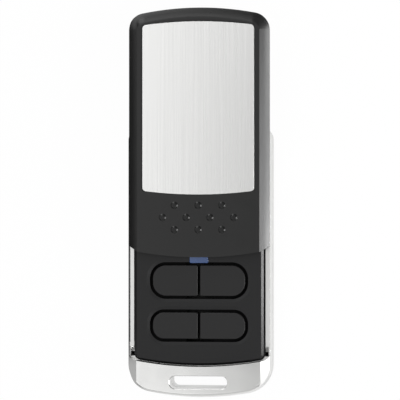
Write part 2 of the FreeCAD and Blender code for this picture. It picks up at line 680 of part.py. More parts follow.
def make_chrome_frame():
    body = new_body("chrome_frame")
    rim_low = ledge_height - S.rim_roll_height
    raise_pad(body, "frame_lower", case_outline, S.parting_height, rim_low)
    taper = f"atan({S.rim_roll_width.text} / {S.rim_roll_height.text}) * -1"
    raise_pad(body, "frame_rim", case_outline, rim_low, ledge_height, taper=taper)

    def end_outline(sketch):
        case_outline(sketch, S.cover_inset)

    crown = raise_pad(body, "ring_end_crown", end_outline, ledge_height, ring_end_height)
    round_edges(body, "ring_end_roll", crown, level_edge(ring_end_height), S.ring_edge_radius)

    def below_outline(sketch):
        case_outline(sketch, S.back_slope_width)

    back_height = f"({S.parting_height.text} - {S.ring_end_low.text})"
    taper = f"atan({S.back_slope_width.text} / {back_height})"
    back = raise_pad(body, "ring_end_back", below_outline, S.ring_end_low, S.parting_height,
                     taper=taper)
    round_edges(body, "ring_end_back_roll", back, level_edge(S.ring_end_low), S.ring_edge_radius)

    def cover_bed(sketch):
        add_slab(sketch, cover_half_width + S.closing_gap,
                 S.case_half_length + OVERLAP, S.case_end_radius, S.case_top_corner,
                 bed_foot, S.cover_foot_radius, S.bed_corner)

    cut_pocket(body, "cover_bed", cover_bed, ledge_height, ring_end_height + OVERLAP)

    def rear_bed(sketch):
        add_slab(sketch, S.case_half_width + OVERLAP,
                 S.case_half_length + OVERLAP, S.case_end_radius, S.case_top_corner,
                 rear_foot - S.fit_gap, S.cover_foot_radius, S.plate_corner + S.fit_gap)

    cut_pocket(body, "rear_bed", rear_bed, S.ring_end_low - OVERLAP, S.parting_height)

    def housing_opening(sketch):
        add_slab(sketch, frame_inner_half_width,
                 frame_inner_top, S.case_end_radius, S.shell_top_corner,
                 frame_inner_foot, S.cover_foot_radius, S.plate_corner + S.fit_gap)

    cut_pocket(body, "housing_opening", housing_opening, S.parting_height - OVERLAP,
               ledge_height + OVERLAP)

    # Sloping side facets, in line with those of the closed cover
    facet_low = cover_height - S.facet_height
    for side, name in ((1, "right_facet"), (-1, "left_facet")):
        def facet(sketch, side=side):
            outer = S.case_half_width + OVERLAP
            rise = facet_low - (outer - cover_half_width) * (S.facet_height / S.facet_width)
            corners = [(cover_face_half_width, cover_height), (outer, rise),
                       (outer, cover_height)]
            add_polygon(sketch, [(x * side, z) for x, z in corners])
        along_y_pocket(body, name, facet, -S.case_half_length - OVERLAP, ledge_end)

    # Low steps at the ends of the ledges, then slopes into pockets at the key-ring end
    step_height = ledge_height - S.ledge_step_depth
    slope_end = ledge_end - S.rest_slope_length
    pocket_end = ledge_end - S.rest_pocket_length
    pocket_inner = frame_inner_half_width - S.fit_gap
    pocket_outer = cover_half_width - S.rest_pocket_wall
    for side, name in ((1, "right"), (-1, "left")):
        def ledge_step(sketch, side=side):
            sided_box(sketch, side, pocket_inner, cover_half_width,
                      ledge_end, ledge_end + S.ledge_step_length)

        def rest_pocket(sketch):
            add_polygon(sketch, [(ledge_end, ring_end_height + OVERLAP), (ledge_end, step_height),
                                 (slope_end, step_height - S.rest_slope_depth),
                                 (slope_end, S.parting_height - OVERLAP),
                                 (pocket_end, S.parting_height - OVERLAP),
                                 (pocket_end, ring_end_height + OVERLAP)])

        cut_pocket(body, f"{name}_ledge_step", ledge_step, step_height, ledge_height + OVERLAP)
        across = (pocket_inner, pocket_outer) if side > 0 else (-pocket_outer, -pocket_inner)
        cut_pocket(body, f"{name}_rest_pocket", rest_pocket, *across, plane="YZ_Plane")

    def key_ring_slot(sketch):
        add_box(sketch, -S.slot_half_length, S.slot_half_length,
                slot_centre - S.slot_half_width, slot_centre + S.slot_half_width,
                S.slot_corner, S.slot_corner)

    cut_pocket(body, "key_ring_slot", key_ring_slot, S.ring_end_low - OVERLAP,
               ring_end_height + OVERLAP)
    return body


# Front housing with the key plate, the slits and the grooves of the runners

def screw_places():
    return [(x, y) for x in (screw_x, -screw_x) for y in (screw_high, screw_foot)]


def key_opening(sketch, centre, half_height, corner, wider=0):
    half_width = keys_half_width + wider
    add_box(sketch, -half_width, half_width, centre - half_height - wider,
            centre + half_height + wider, corner + wider, corner + wider)


def make_front_housing():
    body = new_body("front_housing")

    def shell(sketch):
        add_slab(sketch, shell_half_width,
                 shell_top, S.case_end_radius, S.shell_top_corner,
                 plate_foot, S.cover_foot_radius, S.plate_corner)

    raise_pad(body, "housing_shell", shell, housing_low, ledge_height)

    def plate(sketch):
        add_slab(sketch, plate_half_width,
                 plate_top, S.case_end_radius, S.shell_top_corner,
                 plate_foot, S.cover_foot_radius, S.plate_corner)

    raise_pad(body, "key_plate", plate, ledge_height, plate_shoulder)
    taper = f"atan({S.plate_slope_width.text} / {S.plate_slope_height.text}) * -1"
    raise_pad(body, "key_plate_facet", plate, plate_shoulder, keypad_height, taper=taper)

    def cavity(sketch):
        add_slab(sketch, cavity_half_width,
                 cavity_top, S.case_end_radius, S.cavity_top_corner,
                 cavity_foot, S.cover_foot_radius, S.plate_corner)

    cut_pocket(body, "housing_cavity", cavity, housing_low - OVERLAP, plate_underside)

    for side, name in ((1, "right"), (-1, "left")):
        def slit(sketch, side=side):
            groove_low = runner_low - S.runner_headroom
            groove_high = runner_low + S.runner_sheet + S.runner_headroom
            groove_inner = runner_outer - S.runner_foot_width - S.runner_gap
            outer = shell_half_width + OVERLAP
            top = ledge_height + S.cover_foot_gap
            section = [(groove_inner, groove_low), (outer, groove_low), (outer, top),
                       (plate_half_width, top), (plate_half_width, groove_high),
                       (groove_inner, groove_high)]
            add_polygon(sketch, [(x * side, z) for x, z in section])
        along_y_pocket(body, f"{name}_slit", slit, slit_low, slit_high)

    def openings(sketch):
        key_opening(sketch, upper_keys_centre, S.upper_keys_half_height, S.upper_keys_corner)
        key_opening(sketch, lower_keys_centre, S.lower_keys_half_height, S.lower_keys_corner)

    cut_pocket(body, "key_openings", openings, plate_underside - OVERLAP,
               keypad_height + OVERLAP)

    # Shallow bevels that lead the thumb to the keys
    taper = f"atan({S.key_dish_width.text} / {S.key_dish_depth.text}) * -1"
    for name, centre, half_height, corner in (
            ("upper_dish", upper_keys_centre, S.upper_keys_half_height, S.upper_keys_corner),
            ("lower_dish", lower_keys_centre, S.lower_keys_half_height, S.lower_keys_corner)):
        def dish(sketch, centre=centre, half_height=half_height, corner=corner):
            key_opening(sketch, centre, half_height, corner, S.key_dish_width)
        cut_pocket(body, name, dish, keypad_height - S.key_dish_depth, keypad_height,
                   taper=taper)

    def window(sketch):
        half_width = S.window_half_width + S.window_gap
        add_box(sketch, -half_width, half_width, upper_keys_high - S.key_gap,
                window_high + S.window_gap, S.window_corner, S.window_corner)

    cut_pocket(body, "window_opening", window, plate_underside - OVERLAP,
               keypad_height + OVERLAP)

    def detent_pocket(sketch):
        half_width = S.detent_half_width + S.fit_gap
        half_length = S.detent_half_length + S.fit_gap
        add_box(sketch, -half_width, half_width, S.detent_y - half_length,
                S.detent_y + half_length)

    cut_pocket(body, "detent_pocket", detent_pocket, detent_floor, keypad_height + OVERLAP)

    # The upper bosses press the board down, the lower ones stand on the rear housing's
    for name, y, low in (("upper_bosses", screw_high, board_top),
                         ("lower_bosses", screw_foot, board_low)):
        def bosses(sketch, y=y):
            for x in (screw_x, -screw_x):
                add_circle(sketch, x, y, S.boss_radius)
        raise_pad(body, name, bosses, low, plate_underside + S.fit_gap)

    def pilots(sketch):
        for x, y in screw_places():
            add_circle(sketch, x, y, S.screw_radius + S.screw_bite)

    cut_pocket(body, "screw_pilots", pilots, board_low - OVERLAP, screw_tip + S.fit_gap)
    return body


# Rear housing with the battery opening, its bayonet notches and the screw bosses

def make_rear_housing():
    body = new_body("rear_housing")

    def shell(sketch):
        add_slab(sketch, rear_half_width,
                 rear_top, S.case_end_radius - S.rear_inset, S.case_top_corner - S.rear_inset,
                 rear_foot, S.cover_foot_radius, S.plate_corner)

    lower = raise_pad(body, "rear_shell", shell, S.ring_end_low * 0, S.parting_height)
    round_edges(body, "rear_edge_round", lower, level_edge(0), S.rear_edge_radius)

    def rim(sketch):
        add_slab(sketch, shell_half_width,
                 shell_top, S.case_end_radius, S.shell_top_corner,
                 plate_foot, S.cover_foot_radius, S.plate_corner)

    raise_pad(body, "rear_rim", rim, S.parting_height - S.fit_gap, rear_rim_height)

    def cavity(sketch):
        add_slab(sketch, shell_half_width - S.rear_wall,
                 cavity_top, S.case_end_radius, S.cavity_top_corner,
                 cavity_foot, S.cover_foot_radius, S.plate_corner)

    cut_pocket(body, "rear_cavity", cavity, S.rear_floor, rear_rim_height + OVERLAP)

    def bosses(sketch):
        for x, y in screw_places():
            add_circle(sketch, x, y, S.boss_radius)

    raise_pad(body, "rear_bosses", bosses, S.rear_floor - S.fit_gap, board_low)

    def battery_opening(sketch):
        add_circle(sketch, S.battery_y * 0, S.battery_y, cap_opening_radius)

    cut_pocket(body, "battery_opening", battery_opening, -S.rear_floor, S.rear_floor + OVERLAP)

    def counterbore(sketch):
        add_circle(sketch, S.battery_y * 0, S.battery_y, counterbore_radius)

    cut_pocket(body, "cap_counterbore", counterbore, -S.rear_floor, counterbore_height)

    notch = cut_pocket(body, "lug_notch", lug_outline(LUG_TURN_ANGLE, S.lug_notch_gap),
                       counterbore_height - S.fit_gap, S.rear_floor + OVERLAP)
    notches = body.newObject("PartDesign::PolarPattern", "lug_notches")
    notches.Originals = [notch]
    notches.Axis = (notch.Profile[0], ["N_Axis"])
    notches.Angle = 360
    notches.Occurrences = LUG_COUNT
    body.Tip = notches
    doc.recompute()

    def holes(sketch):
        for x, y in screw_places():
            add_circle(sketch, x, y, S.screw_radius + S.screw_clear)

    cut_pocket(body, "screw_holes", holes, -S.rear_floor, board_low + OVERLAP)

    def head_seats(sketch):
        for x, y in screw_places():
            add_circle(sketch, x, y, S.screw_head_radius + S.screw_clear)

    cut_pocket(body, "screw_head_seats", head_seats, -S.rear_floor,
               S.screw_head_sink + S.screw_head_height)
    return body


def lug_outline(turn, gap):
    """One bayonet lug, or its notch, turned about the middle of the battery."""
    def draw(sketch):
        rotation = FreeCAD.Rotation(Vector(0, 0, 1), turn)
        sketch.AttachmentOffset = FreeCAD.Placement(Vector(0, 0, 0), rotation)
        sketch.setExpression("AttachmentOffset.Base.y", S.battery_y.text)
        half_width = S.lug_half_width + gap
        add_box(sketch, S.battery_radius, lug_radius + gap, -half_width, half_width)
    return draw


# Sliding cover with its runners and inlay

def make_slider_cover():
    body = new_body("slider_cover")
    blank_foot = cover_foot - S.cover_top_corner - OVERLAP

    def blank(sketch):
        add_slab(sketch, cover_half_width,
                 cover_top, S.cover_top_radius, S.cover_top_corner,
                 blank_foot, S.cover_foot_radius, S.cover_top_corner)

    block = raise_pad(body, "cover_blank", blank, cover_foot_height, cover_height)
    round_edges(body, "cover_top_round", block, level_edge(cover_height), S.cover_top_edge_radius)

    def foot_cut(sketch):
        add_foot_cut(sketch, cover_half_width, cover_foot, S.cover_foot_radius,
                     S.cover_foot_bevel_width, S.cover_foot_bevel_height,
                     cover_half_width + OVERLAP, blank_foot - OVERLAP)

    cut_pocket(body, "cover_foot_cut", foot_cut, cover_foot_height - OVERLAP,
               cover_height + OVERLAP)

    # Sloping side facets
    for side, name in ((1, "right_facet"), (-1, "left_facet")):
        def facet(sketch, side=side):
            outer = cover_half_width + OVERLAP
            slope = S.facet_height / S.facet_width
            corners = [(cover_face_half_width - OVERLAP, cover_height + slope * OVERLAP),
                       (outer, cover_height - S.facet_height - slope * OVERLAP),
                       (outer, cover_height + slope * OVERLAP)]
            add_polygon(sketch, [(x * side, z) for x, z in corners])
        along_y_pocket(body, f"cover_{name}", facet, cover_foot - OVERLAP * 3,
                       cover_top + OVERLAP)

    def cavity(sketch):
        add_slab(sketch, cover_inner_half_width,
                 cover_top - S.cover_end_wall, S.cover_top_radius,
                 S.cover_top_corner - S.cover_side_wall,
                 blank_foot, S.cover_foot_radius, S.cover_top_corner - S.cover_side_wall)

    hollow = cut_pocket(body, "cover_cavity", cavity, cover_foot_height - OVERLAP, cover_ceiling)
    slope = body.newObject("PartDesign::Chamfer", "cover_inside_slope")
    slope.Base = (hollow, edges_where(hollow, ceiling_side_edge))
    slope.setExpression("Size", S.cover_slope_width.text)
    doc.recompute()

    def inlay_recess(sketch):
        inlay_outline(sketch, S.inlay_gap)

    cut_pocket(body, "inlay_recess", inlay_recess, recess_floor, cover_height + OVERLAP)

    def dimples(sketch):
        for y in (S.detent_y, dimple_closed_y):
            add_circle(sketch, S.detent_y * 0, y, S.detent_dimple_radius)

    cut_pocket(body, "detent_dimples", dimples, cover_ceiling - OVERLAP,
               cover_ceiling + S.detent_dimple_depth)

    def pips(sketch):
        for row, count in enumerate(PIP_COUNTS):
            along = pip_middle_row + S.pip_row_pitch * (1 - row)
            for index in range(count):
                across = S.pip_pitch * (index - (count - 1) / 2)
                add_circle(sketch, across, along, S.pip_radius)

    pads = raise_pad(body, "grip_pips", pips, cover_height - S.pip_height,
                     cover_height + S.pip_height)
    round_edges(body, "grip_pip_rounds", pads, level_edge(cover_height + S.pip_height),
                S.pip_edge_radius)
    return body


def ceiling_side_edge(edge):
    """True for the two long edges where the cover's ceiling meets its sides."""
    return level_edge(cover_ceiling)(edge) and edge.BoundBox.XLength < TOLERANCE


def inlay_outline(sketch, gap):
    add_slab(sketch, inlay_half_width + gap,
             inlay_top + gap, S.inlay_end_radius + gap, S.inlay_corner + gap,
             inlay_foot - gap, S.inlay_end_radius + gap, S.inlay_corner + gap)


def make_inlay():
    body = new_body("slider_inlay")

    def sheet_metal(sketch):
        inlay_outline(sketch, S.inlay_gap * 0)

    raise_pad(body, "inlay_sheet", sheet_metal, inlay_low, inlay_face)
    film = new_body("inlay_adhesive")

    def film_outline(sketch):
        inlay_outline(sketch, -S.inlay_gap)

    raise_pad(film, "adhesive_film", film_outline, recess_floor, inlay_low)


def make_runners():
    for side, name in ((1, "right_runner"), (-1, "left_runner")):
        body = new_body(name)

        def section(sketch, side=side):
            foot_top = runner_low + S.runner_sheet
            foot_inner = runner_outer - S.runner_foot_width
            corners = [(foot_inner, runner_low), (runner_outer, runner_low),
                       (runner_outer, runner_top), (runner_inner, runner_top),
                       (runner_inner, foot_top), (foot_inner, foot_top)]
            add_polygon(sketch, [(x * side, z) for x, z in corners])

        along_y_pad(body, f"{name}_strip", section, runner_foot_end, runner_high)


# Keys, each with the plunger of its switch, and the switches

KEYS = [
    ("upper_left", -1, upper_keys_centre, S.upper_keys_half_height, S.upper_keys_corner),
    ("upper_right", 1, upper_keys_centre, S.upper_keys_half_height, S.upper_keys_corner),
    ("lower_left", -1, lower_keys_centre, S.lower_keys_half_height, S.lower_keys_corner),
    ("lower_right", 1, lower_keys_centre, S.lower_keys_half_height, S.lower_keys_corner),
]


def make_key(name, side, centre, half_height, corner):
    body = new_body(f"{name}_key")
    half = half_height - S.key_gap

    def cap(sketch):
        sided_box(sketch, side, key_inner_x, key_outer_x, centre - half, centre + half,
                  S.key_inner_corner, corner - S.key_gap)

    top = raise_pad(body, "cap", cap, flange_low, key_top)
    round_edges(body, "cap_round", top, level_edge(key_top), S.key_edge_radius)

    def flange(sketch):
        reach = half_height + S.key_flange
        sided_box(sketch, side, key_inner_x + S.key_flange_inset, keys_half_width + S.key_flange,
                  centre - reach, centre + reach, S.key_inner_corner, corner)

    raise_pad(body, "flange", flange, flange_low, flange_top)

    def post(sketch):
        add_circle(sketch, key_middle_x * side, centre, S.key_post_radius)

    raise_pad(body, "post", post, plunger_top, flange_low + S.fit_gap)

    plunger = doc.addObject("Part::Cylinder", f"{name}_plunger")
    plunger.Label = f"{name}_plunger"
    plunger.setExpression("Radius", S.plunger_radius.text)
    plunger.setExpression("Height", S.plunger_length.text)
    plunger.setExpression("Placement.Base.x", (key_middle_x * side).text)
    plunger.setExpression("Placement.Base.y", centre.text)
    plunger.setExpression("Placement.Base.z", (plunger_top - S.plunger_length).text)

    switch = new_body(f"{name}_switch")

    def switch_body(sketch):
        middle = key_middle_x * side
        add_box(sketch, middle - S.switch_half, middle + S.switch_half,
                centre - S.switch_half, centre + S.switch_half)

    raise_pad(switch, "switch_body", switch_body, board_top, switch_top)

    def well(sketch):
        add_circle(sketch, key_middle_x * side, centre, S.plunger_radius + S.plunger_gap)

    well_floor = plunger_top - S.plunger_length - S.key_travel - S.plunger_gap
    cut_pocket(switch, "plunger_well", well, well_floor, switch_top)


# Light pipe over the indicator light

def make_light_pipe():
    body = new_body("light_pipe")

    def window(sketch):
        add_box(sketch, -S.window_half_width, S.window_half_width,
                window_low, window_high, S.window_corner, S.window_corner)

    raise_pad(body, "window", window, plate_underside, key_top)

    def neck(sketch):
        add_box(sketch, -S.window_neck_half_width, S.window_neck_half_width,
                upper_keys_high + S.window_neck_inset, window_high - S.window_neck_inset)

    raise_pad(body, "neck", neck, board_top + S.led_height, plate_underside)


def plain_box(label, x, y, half_x, half_y, low, height):
    box = doc.addObject("Part::Box", label)
    box.Label = label
    box.setExpression("Length", (half_x * 2).text)
    box.setExpression("Width", (half_y * 2).text)
    box.setExpression("Height", height.text)
    box.setExpression("Placement.Base.x", (x - half_x).text)
    box.setExpression("Placement.Base.y", (y - half_y).text)
    box.setExpression("Placement.Base.z", low.text)
    return box


# Circuit board and what it carries

def make_board():
    body = new_body("circuit_board")

    def board(sketch):
        add_slab(sketch, board_half_width,
                 board_end, S.case_end_radius, S.cavity_top_corner,
                 board_foot, S.cover_foot_radius, S.board_corner)
        for x in (screw_x, -screw_x):
            add_circle(sketch, x, screw_high, S.screw_radius + S.screw_clear)

    raise_pad(body, "board", board, board_low, board_top)

    window_middle = (upper_keys_high + window_high) / 2
    plain_box("indicator_light", S.led_half_length * 0, window_middle,
              S.led_half_length, S.led_half_width, board_top, S.led_height)
    plain_box("controller_chip", S.chip_x, lower_row_y, S.chip_half, S.chip_half,
              board_top, S.chip_height)
    plain_box("radio_chip", S.radio_x, upper_row_y, S.radio_half, S.radio_half,
              board_top, S.radio_height)

    can = new_body("crystal_can")

    def can_outline(sketch):
        add_box(sketch, S.crystal_x - S.crystal_half_length, S.crystal_x + S.crystal_half_length,
                upper_row_y - S.crystal_half_width, upper_row_y + S.crystal_half_width,
                S.crystal_corner, S.crystal_corner)

    raise_pad(can, "can", can_outline, board_top, board_top + S.crystal_height)

    smalls = []
    for row in range(PASSIVE_ROWS):
        for column in range(PASSIVE_COLUMNS):
            small = plain_box(f"board_small_{row}_{column}",
                              S.passive_x + S.passive_pitch * column,
                              lower_row_y + S.passive_pitch * (row - 1),
                              S.passive_half_length, S.passive_half_width,
                              board_top, S.passive_height)
            smalls.append(small)
    group = doc.addObject("Part::Compound", "board_parts")
    group.Label = "board_parts"
    group.Links = smalls

    loop = new_body("loop_antenna")

    def strip(sketch):
        add_box(sketch, -antenna_half_width, antenna_half_width,
                antenna_foot, antenna_high, S.antenna_corner, S.antenna_corner)
        inner = antenna_half_width - S.antenna_strip
        corner = S.antenna_corner - S.antenna_strip
        add_box(sketch, -inner, inner, antenna_foot + S.antenna_strip,
                antenna_high - S.antenna_strip, corner, corner)

    raise_pad(loop, "strip", strip, board_top, board_top + S.antenna_height)

    def feed_gap(sketch):
        add_box(sketch, -S.antenna_strip, S.antenna_strip,
                antenna_foot - OVERLAP, antenna_foot + S.antenna_strip + S.fit_gap)

    cut_pocket(loop, "feed_gap", feed_gap, board_top, board_top + S.antenna_height)


# Coin cell, its contacts, its cap and the cap's seal

def half_section(body, name, draw):
    """Turns a section drawn beside the battery's axis through a full circle."""
    sketch = new_sketch(body, f"{name}_sketch", -S.battery_y, "XZ_Plane")
    draw(sketch)
    turned = body.newObject("PartDesign::Revolution", name)
    turned.Profile = sketch
    turned.ReferenceAxis = (sketch, ["V_Axis"])
    turned.Angle = 360
    doc.recompute()
    return turned


def make_battery():
    cell = new_body("coin_cell")

    def cell_section(sketch):
        shoulder = battery_top - S.battery_step_height
        pole = S.battery_radius - S.battery_step
        zero = S.battery_radius * 0
        add_polygon(sketch, [(zero, battery_low), (S.battery_radius, battery_low),
                             (S.battery_radius, shoulder), (pole, shoulder),
                             (pole, battery_top), (zero, battery_top)])

    half_section(cell, "cell", cell_section)

    negative = new_body("negative_contact")

    def leaf(sketch):
        bend = S.contact_length / 2
        sheet = S.contact_sheet
        add_polygon(sketch, [(-bend, battery_top), (-bend + sheet * 2, battery_top),
                             (bend, board_low - sheet), (bend + sheet * 4, board_low - sheet),
                             (bend + sheet * 4, board_low), (bend - sheet, board_low),
                             (-bend, battery_top + sheet)])

    sketch = new_sketch(negative, "leaf_sketch", S.contact_half_width * 0, "YZ_Plane")
    sketch.setExpression("AttachmentOffset.Base.x", S.battery_y.text)
    leaf(sketch)
    pad = negative.newObject("PartDesign::Pad", "leaf")
    pad.Profile = sketch
    pad.setExpression("Length", (S.contact_half_width * 2).text)
    pad.Midplane = True
    doc.recompute()

    positive = new_body("positive_contact")

    def clip(sketch):
        inner = S.battery_radius + S.fit_gap
        outer = inner + S.contact_sheet
        foot = inner + S.contact_half_width
        low = collar_top + S.cap_gap
        add_polygon(sketch, [(inner, low), (outer, low), (outer, board_low - S.contact_sheet),
                             (foot, board_low - S.contact_sheet), (foot, board_low),
                             (inner, board_low)])

    along_y_pad(positive, "clip", clip, S.battery_y - S.contact_half_width,
                S.battery_y + S.contact_half_width)


def make_battery_cap():
    cap = new_body("battery_cap")

    def section(sketch):
        zero = cap_radius * 0
        add_polygon(sketch, [(zero, S.cap_sink), (cap_radius, S.cap_sink),
                             (cap_radius, cap_flange_top),
                             (cap_collar_radius, cap_flange_top),
                             (cap_collar_radius, collar_top),
                             (cap_cup_radius, collar_top),
                             (cap_cup_radius, S.cap_floor), (zero, S.cap_floor)])

    half_section(cap, "cap_body", section)
    lug = raise_pad(cap, "bayonet_lug", lug_in_collar, lug_low, collar_top)
    lugs = cap.newObject("PartDesign::PolarPattern", "bayonet_lugs")
    lugs.Originals = [lug]
    lugs.Axis = (lug.Profile[0], ["N_Axis"])
    lugs.Angle = 360
    lugs.Occurrences = LUG_COUNT
    cap.Tip = lugs
    doc.recompute()

    def coin_slot(sketch):
        sketch.setExpression("AttachmentOffset.Base.y", S.battery_y.text)
        add_box(sketch, -S.coin_slot_half_length, S.coin_slot_half_length,
                -S.coin_slot_half_width, S.coin_slot_half_width,
                S.coin_slot_corner, S.coin_slot_corner)

    cut_pocket(cap, "coin_slot", coin_slot, -S.cap_floor, S.cap_sink + S.coin_slot_depth)

    seal = new_body("cap_seal")

    def ring(sketch):
        outer = cap_radius - S.fit_gap
        inner = outer - S.cap_seal_width
        add_box(sketch, inner, outer, cap_flange_top, cap_flange_top + S.cap_seal_thickness)

    half_section(seal, "seal_ring", ring)


def lug_in_collar(sketch):
    sketch.setExpression("AttachmentOffset.Base.y", S.battery_y.text)
    collar_middle = (cap_collar_radius + cap_cup_radius) / 2
    add_box(sketch, collar_middle, lug_radius, -S.lug_half_width, S.lug_half_width)


# Case seal, case screws and detent spring

def make_case_seal():
    body = new_body("case_seal")

    def ring(sketch):
        step = S.fit_gap
        add_slab(sketch, shell_half_width - step,
                 shell_top - step, S.case_end_radius, S.shell_top_corner,
                 plate_foot + step, S.cover_foot_radius, S.plate_corner)
        step = S.fit_gap + S.seal_width
        add_slab(sketch, shell_half_width - step,
                 shell_top - step, S.case_end_radius, S.shell_top_corner,
                 plate_foot + step, S.cover_foot_radius, S.plate_corner)

    raise_pad(body, "seal", ring, rear_rim_height, housing_low)


def make_case_screws():
    screws = []
    for index, (x, y) in enumerate(screw_places()):
        head = doc.addObject("Part::Cylinder", f"screw_head_{index}")
        head.setExpression("Radius", S.screw_head_radius.text)
        head.setExpression("Height", S.screw_head_height.text)
        shank = doc.addObject("Part::Cylinder", f"screw_shank_{index}")
        shank.setExpression("Radius", S.screw_radius.text)
        shank.setExpression("Height", (screw_tip - S.screw_head_sink).text)
        for piece in (head, shank):
            piece.setExpression("Placement.Base.x", x.text)
            piece.setExpression("Placement.Base.y", y.text)
            piece.setExpression("Placement.Base.z", S.screw_head_sink.text)
        screw = doc.addObject("Part::Fuse", f"screw_{index}")
        screw.Base = head
        screw.Tool = shank
        screws.append(screw)
    group = doc.addObject("Part::Compound", "case_screws")
    group.Label = "case_screws"
    group.Links = screws


def make_detent_spring():
    """A strip bowed upwards, with its ends on the floor of its pocket."""
    body = new_body("detent_spring")
    sketch = new_sketch(body, "bow_sketch", S.detent_half_width * 0, "YZ_Plane")
    sketch.setExpression("AttachmentOffset.Base.x", S.detent_y.text)
    half = float(S.detent_half_length)
    rise = float(S.detent_height)
    floor = float(detent_floor)
    thick = float(S.detent_sheet)
    outer_radius = (half ** 2 + rise ** 2) / (2 * rise)
    centre = floor + rise - outer_radius
    inner_radius = outer_radius - thick
    inner_half = math.sqrt(inner_radius ** 2 - (floor - centre) ** 2)
    outer_angle = math.atan2(floor - centre, half)
    inner_angle = math.atan2(floor - centre, inner_half)
    outer = arc(sketch, (0, centre), outer_radius, outer_angle, math.pi - outer_angle)
    left = line(sketch, (-half, floor), (-inner_half, floor))
    inner = arc(sketch, (0, centre), inner_radius, inner_angle, math.pi - inner_angle)
    right = line(sketch, (inner_half, floor), (half, floor))
    relate(sketch, "Coincident", outer, 2, left, 1)
    relate(sketch, "Coincident", left, 2, inner, 2)
    relate(sketch, "Coincident", inner, 1, right, 1)
    relate(sketch, "Coincident", right, 2, outer, 1)
    relate(sketch, "Horizontal", left)
    relate(sketch, "Horizontal", right)
    relate(sketch, "PointOnObject", outer, 3, -2)
    relate(sketch, "Coincident", outer, 3, inner, 3)
    place_point(sketch, outer, 1, S.detent_half_length, detent_floor)
    bow = (S.detent_half_length * S.detent_half_length + S.detent_height * S.detent_height)
    bow_radius = bow / (S.detent_height * 2)
    constrain(sketch, "Radius", outer, bow_radius)
    constrain(sketch, "Radius", inner, bow_radius - S.detent_sheet)
    pad = body.newObject("PartDesign::Pad", "bow")
    pad.Profile = sketch
    pad.setExpression("Length", (S.detent_half_width * 2).text)
    pad.Midplane = True
    doc.recompute()


make_chrome_frame()
make_front_housing()
make_rear_housing()
make_slider_cover()
make_inlay()
make_runners()
for key in KEYS:
    make_key(*key)
make_light_pipe()
make_board()
make_battery()
make_battery_cap()
make_case_seal()
make_case_screws()
make_detent_spring()
doc.recompute()


# Checks and files

NODES = ["chrome_frame", "front_housing", "rear_housing", "case_seal", "case_screws",
         "circuit_board", "indicator_light", "light_pipe", "controller_chip", "radio_chip",
         "crystal_can", "board_parts", "loop_antenna", "coin_cell", "negative_contact",
         "positive_contact", "detent_spring", "battery_cap", "cap_seal",
         "slider_cover", "slider_inlay", "inlay_adhesive", "left_runner", "right_runner"]
for key_name, *_ in KEYS:
    NODES += [f"{key_name}_key", f"{key_name}_plunger", f"{key_name}_switch"]

for item in doc.Objects:
    if "Invalid" in item.State or "Error" in item.State:
        raise RuntimeError(f"{item.Label} failed: {item.State}")
for node in NODES:
    part = doc.getObjectsByLabel(node)[0]
    shape = part.Shape
    if shape.isNull() or not shape.isValid():
        raise RuntimeError(f"{node} has no valid shape")
    shape.exportStep(f"parts/{node}.step")
    box = shape.BoundBox
    print(f"{node}: {len(shape.Solids)} solid(s), {shape.Volume:.1f} mm3,"
          f" x {box.XMin:.2f} to {box.XMax:.2f}, y {box.YMin:.2f} to {box.YMax:.2f},"
          f" z {box.ZMin:.2f} to {box.ZMax:.2f}")
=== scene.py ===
import json
import math

import bmesh
import bpy
from mathutils import Matrix, Vector

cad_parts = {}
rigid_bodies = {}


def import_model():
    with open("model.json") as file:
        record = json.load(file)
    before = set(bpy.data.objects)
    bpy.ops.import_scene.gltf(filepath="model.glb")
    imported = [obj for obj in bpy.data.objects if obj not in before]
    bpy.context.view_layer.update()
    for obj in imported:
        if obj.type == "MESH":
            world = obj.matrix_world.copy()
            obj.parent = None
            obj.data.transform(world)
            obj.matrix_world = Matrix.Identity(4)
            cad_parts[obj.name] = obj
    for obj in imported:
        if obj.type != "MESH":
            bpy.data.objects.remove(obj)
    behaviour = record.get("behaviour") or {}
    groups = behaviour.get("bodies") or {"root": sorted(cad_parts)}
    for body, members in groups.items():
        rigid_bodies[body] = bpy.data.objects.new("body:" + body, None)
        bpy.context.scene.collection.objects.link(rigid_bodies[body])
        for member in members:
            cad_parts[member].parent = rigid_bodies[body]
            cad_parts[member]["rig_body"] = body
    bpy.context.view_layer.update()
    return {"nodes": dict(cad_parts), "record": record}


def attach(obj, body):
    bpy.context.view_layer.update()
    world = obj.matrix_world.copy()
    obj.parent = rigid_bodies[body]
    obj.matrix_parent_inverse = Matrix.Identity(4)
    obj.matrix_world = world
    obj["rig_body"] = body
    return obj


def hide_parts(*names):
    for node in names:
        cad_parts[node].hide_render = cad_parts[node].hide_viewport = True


# Sliding-cover gate remote control, lying open on its back.
# Metres. +X to the right, +Y towards the upper end, +Z towards the person's thumb.

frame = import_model()

MM = 0.001


# Meshes

MERGE = 2e-6
EDGE_SEGMENTS = 3
RIM_SEGMENTS = 5
ROUND_PROFILE = 0.5

# Angles between neighbouring faces, in degrees. Up to FLAT_ANGLE they are one flat face, and
# from EDGE_ANGLE their edge is softened. They are shaded as one surface up to SMOOTH_ANGLE, or
# up to CRISP_ANGLE on a piece with shallow dishes.
FLAT_ANGLE = 0.4
EDGE_ANGLE = 28
SMOOTH_ANGLE = 40
CRISP_ANGLE = 11


def bare_mesh(name, form):
    """A mesh with nothing but the corners and faces of a bmesh form, which is freed."""
    form.verts.index_update()
    points = [corner.co[:] for corner in form.verts]
    faces = [[corner.index for corner in face.verts] for face in form.faces]
    mesh = bpy.data.meshes.new(name)
    mesh.from_pydata(points, [], faces)
    form.free()
    return mesh


def show(name, data):
    """An object in the scene that holds a mesh, a lamp or a lens."""
    made = bpy.data.objects.new(name, data)
    bpy.context.scene.collection.objects.link(made)
    return made


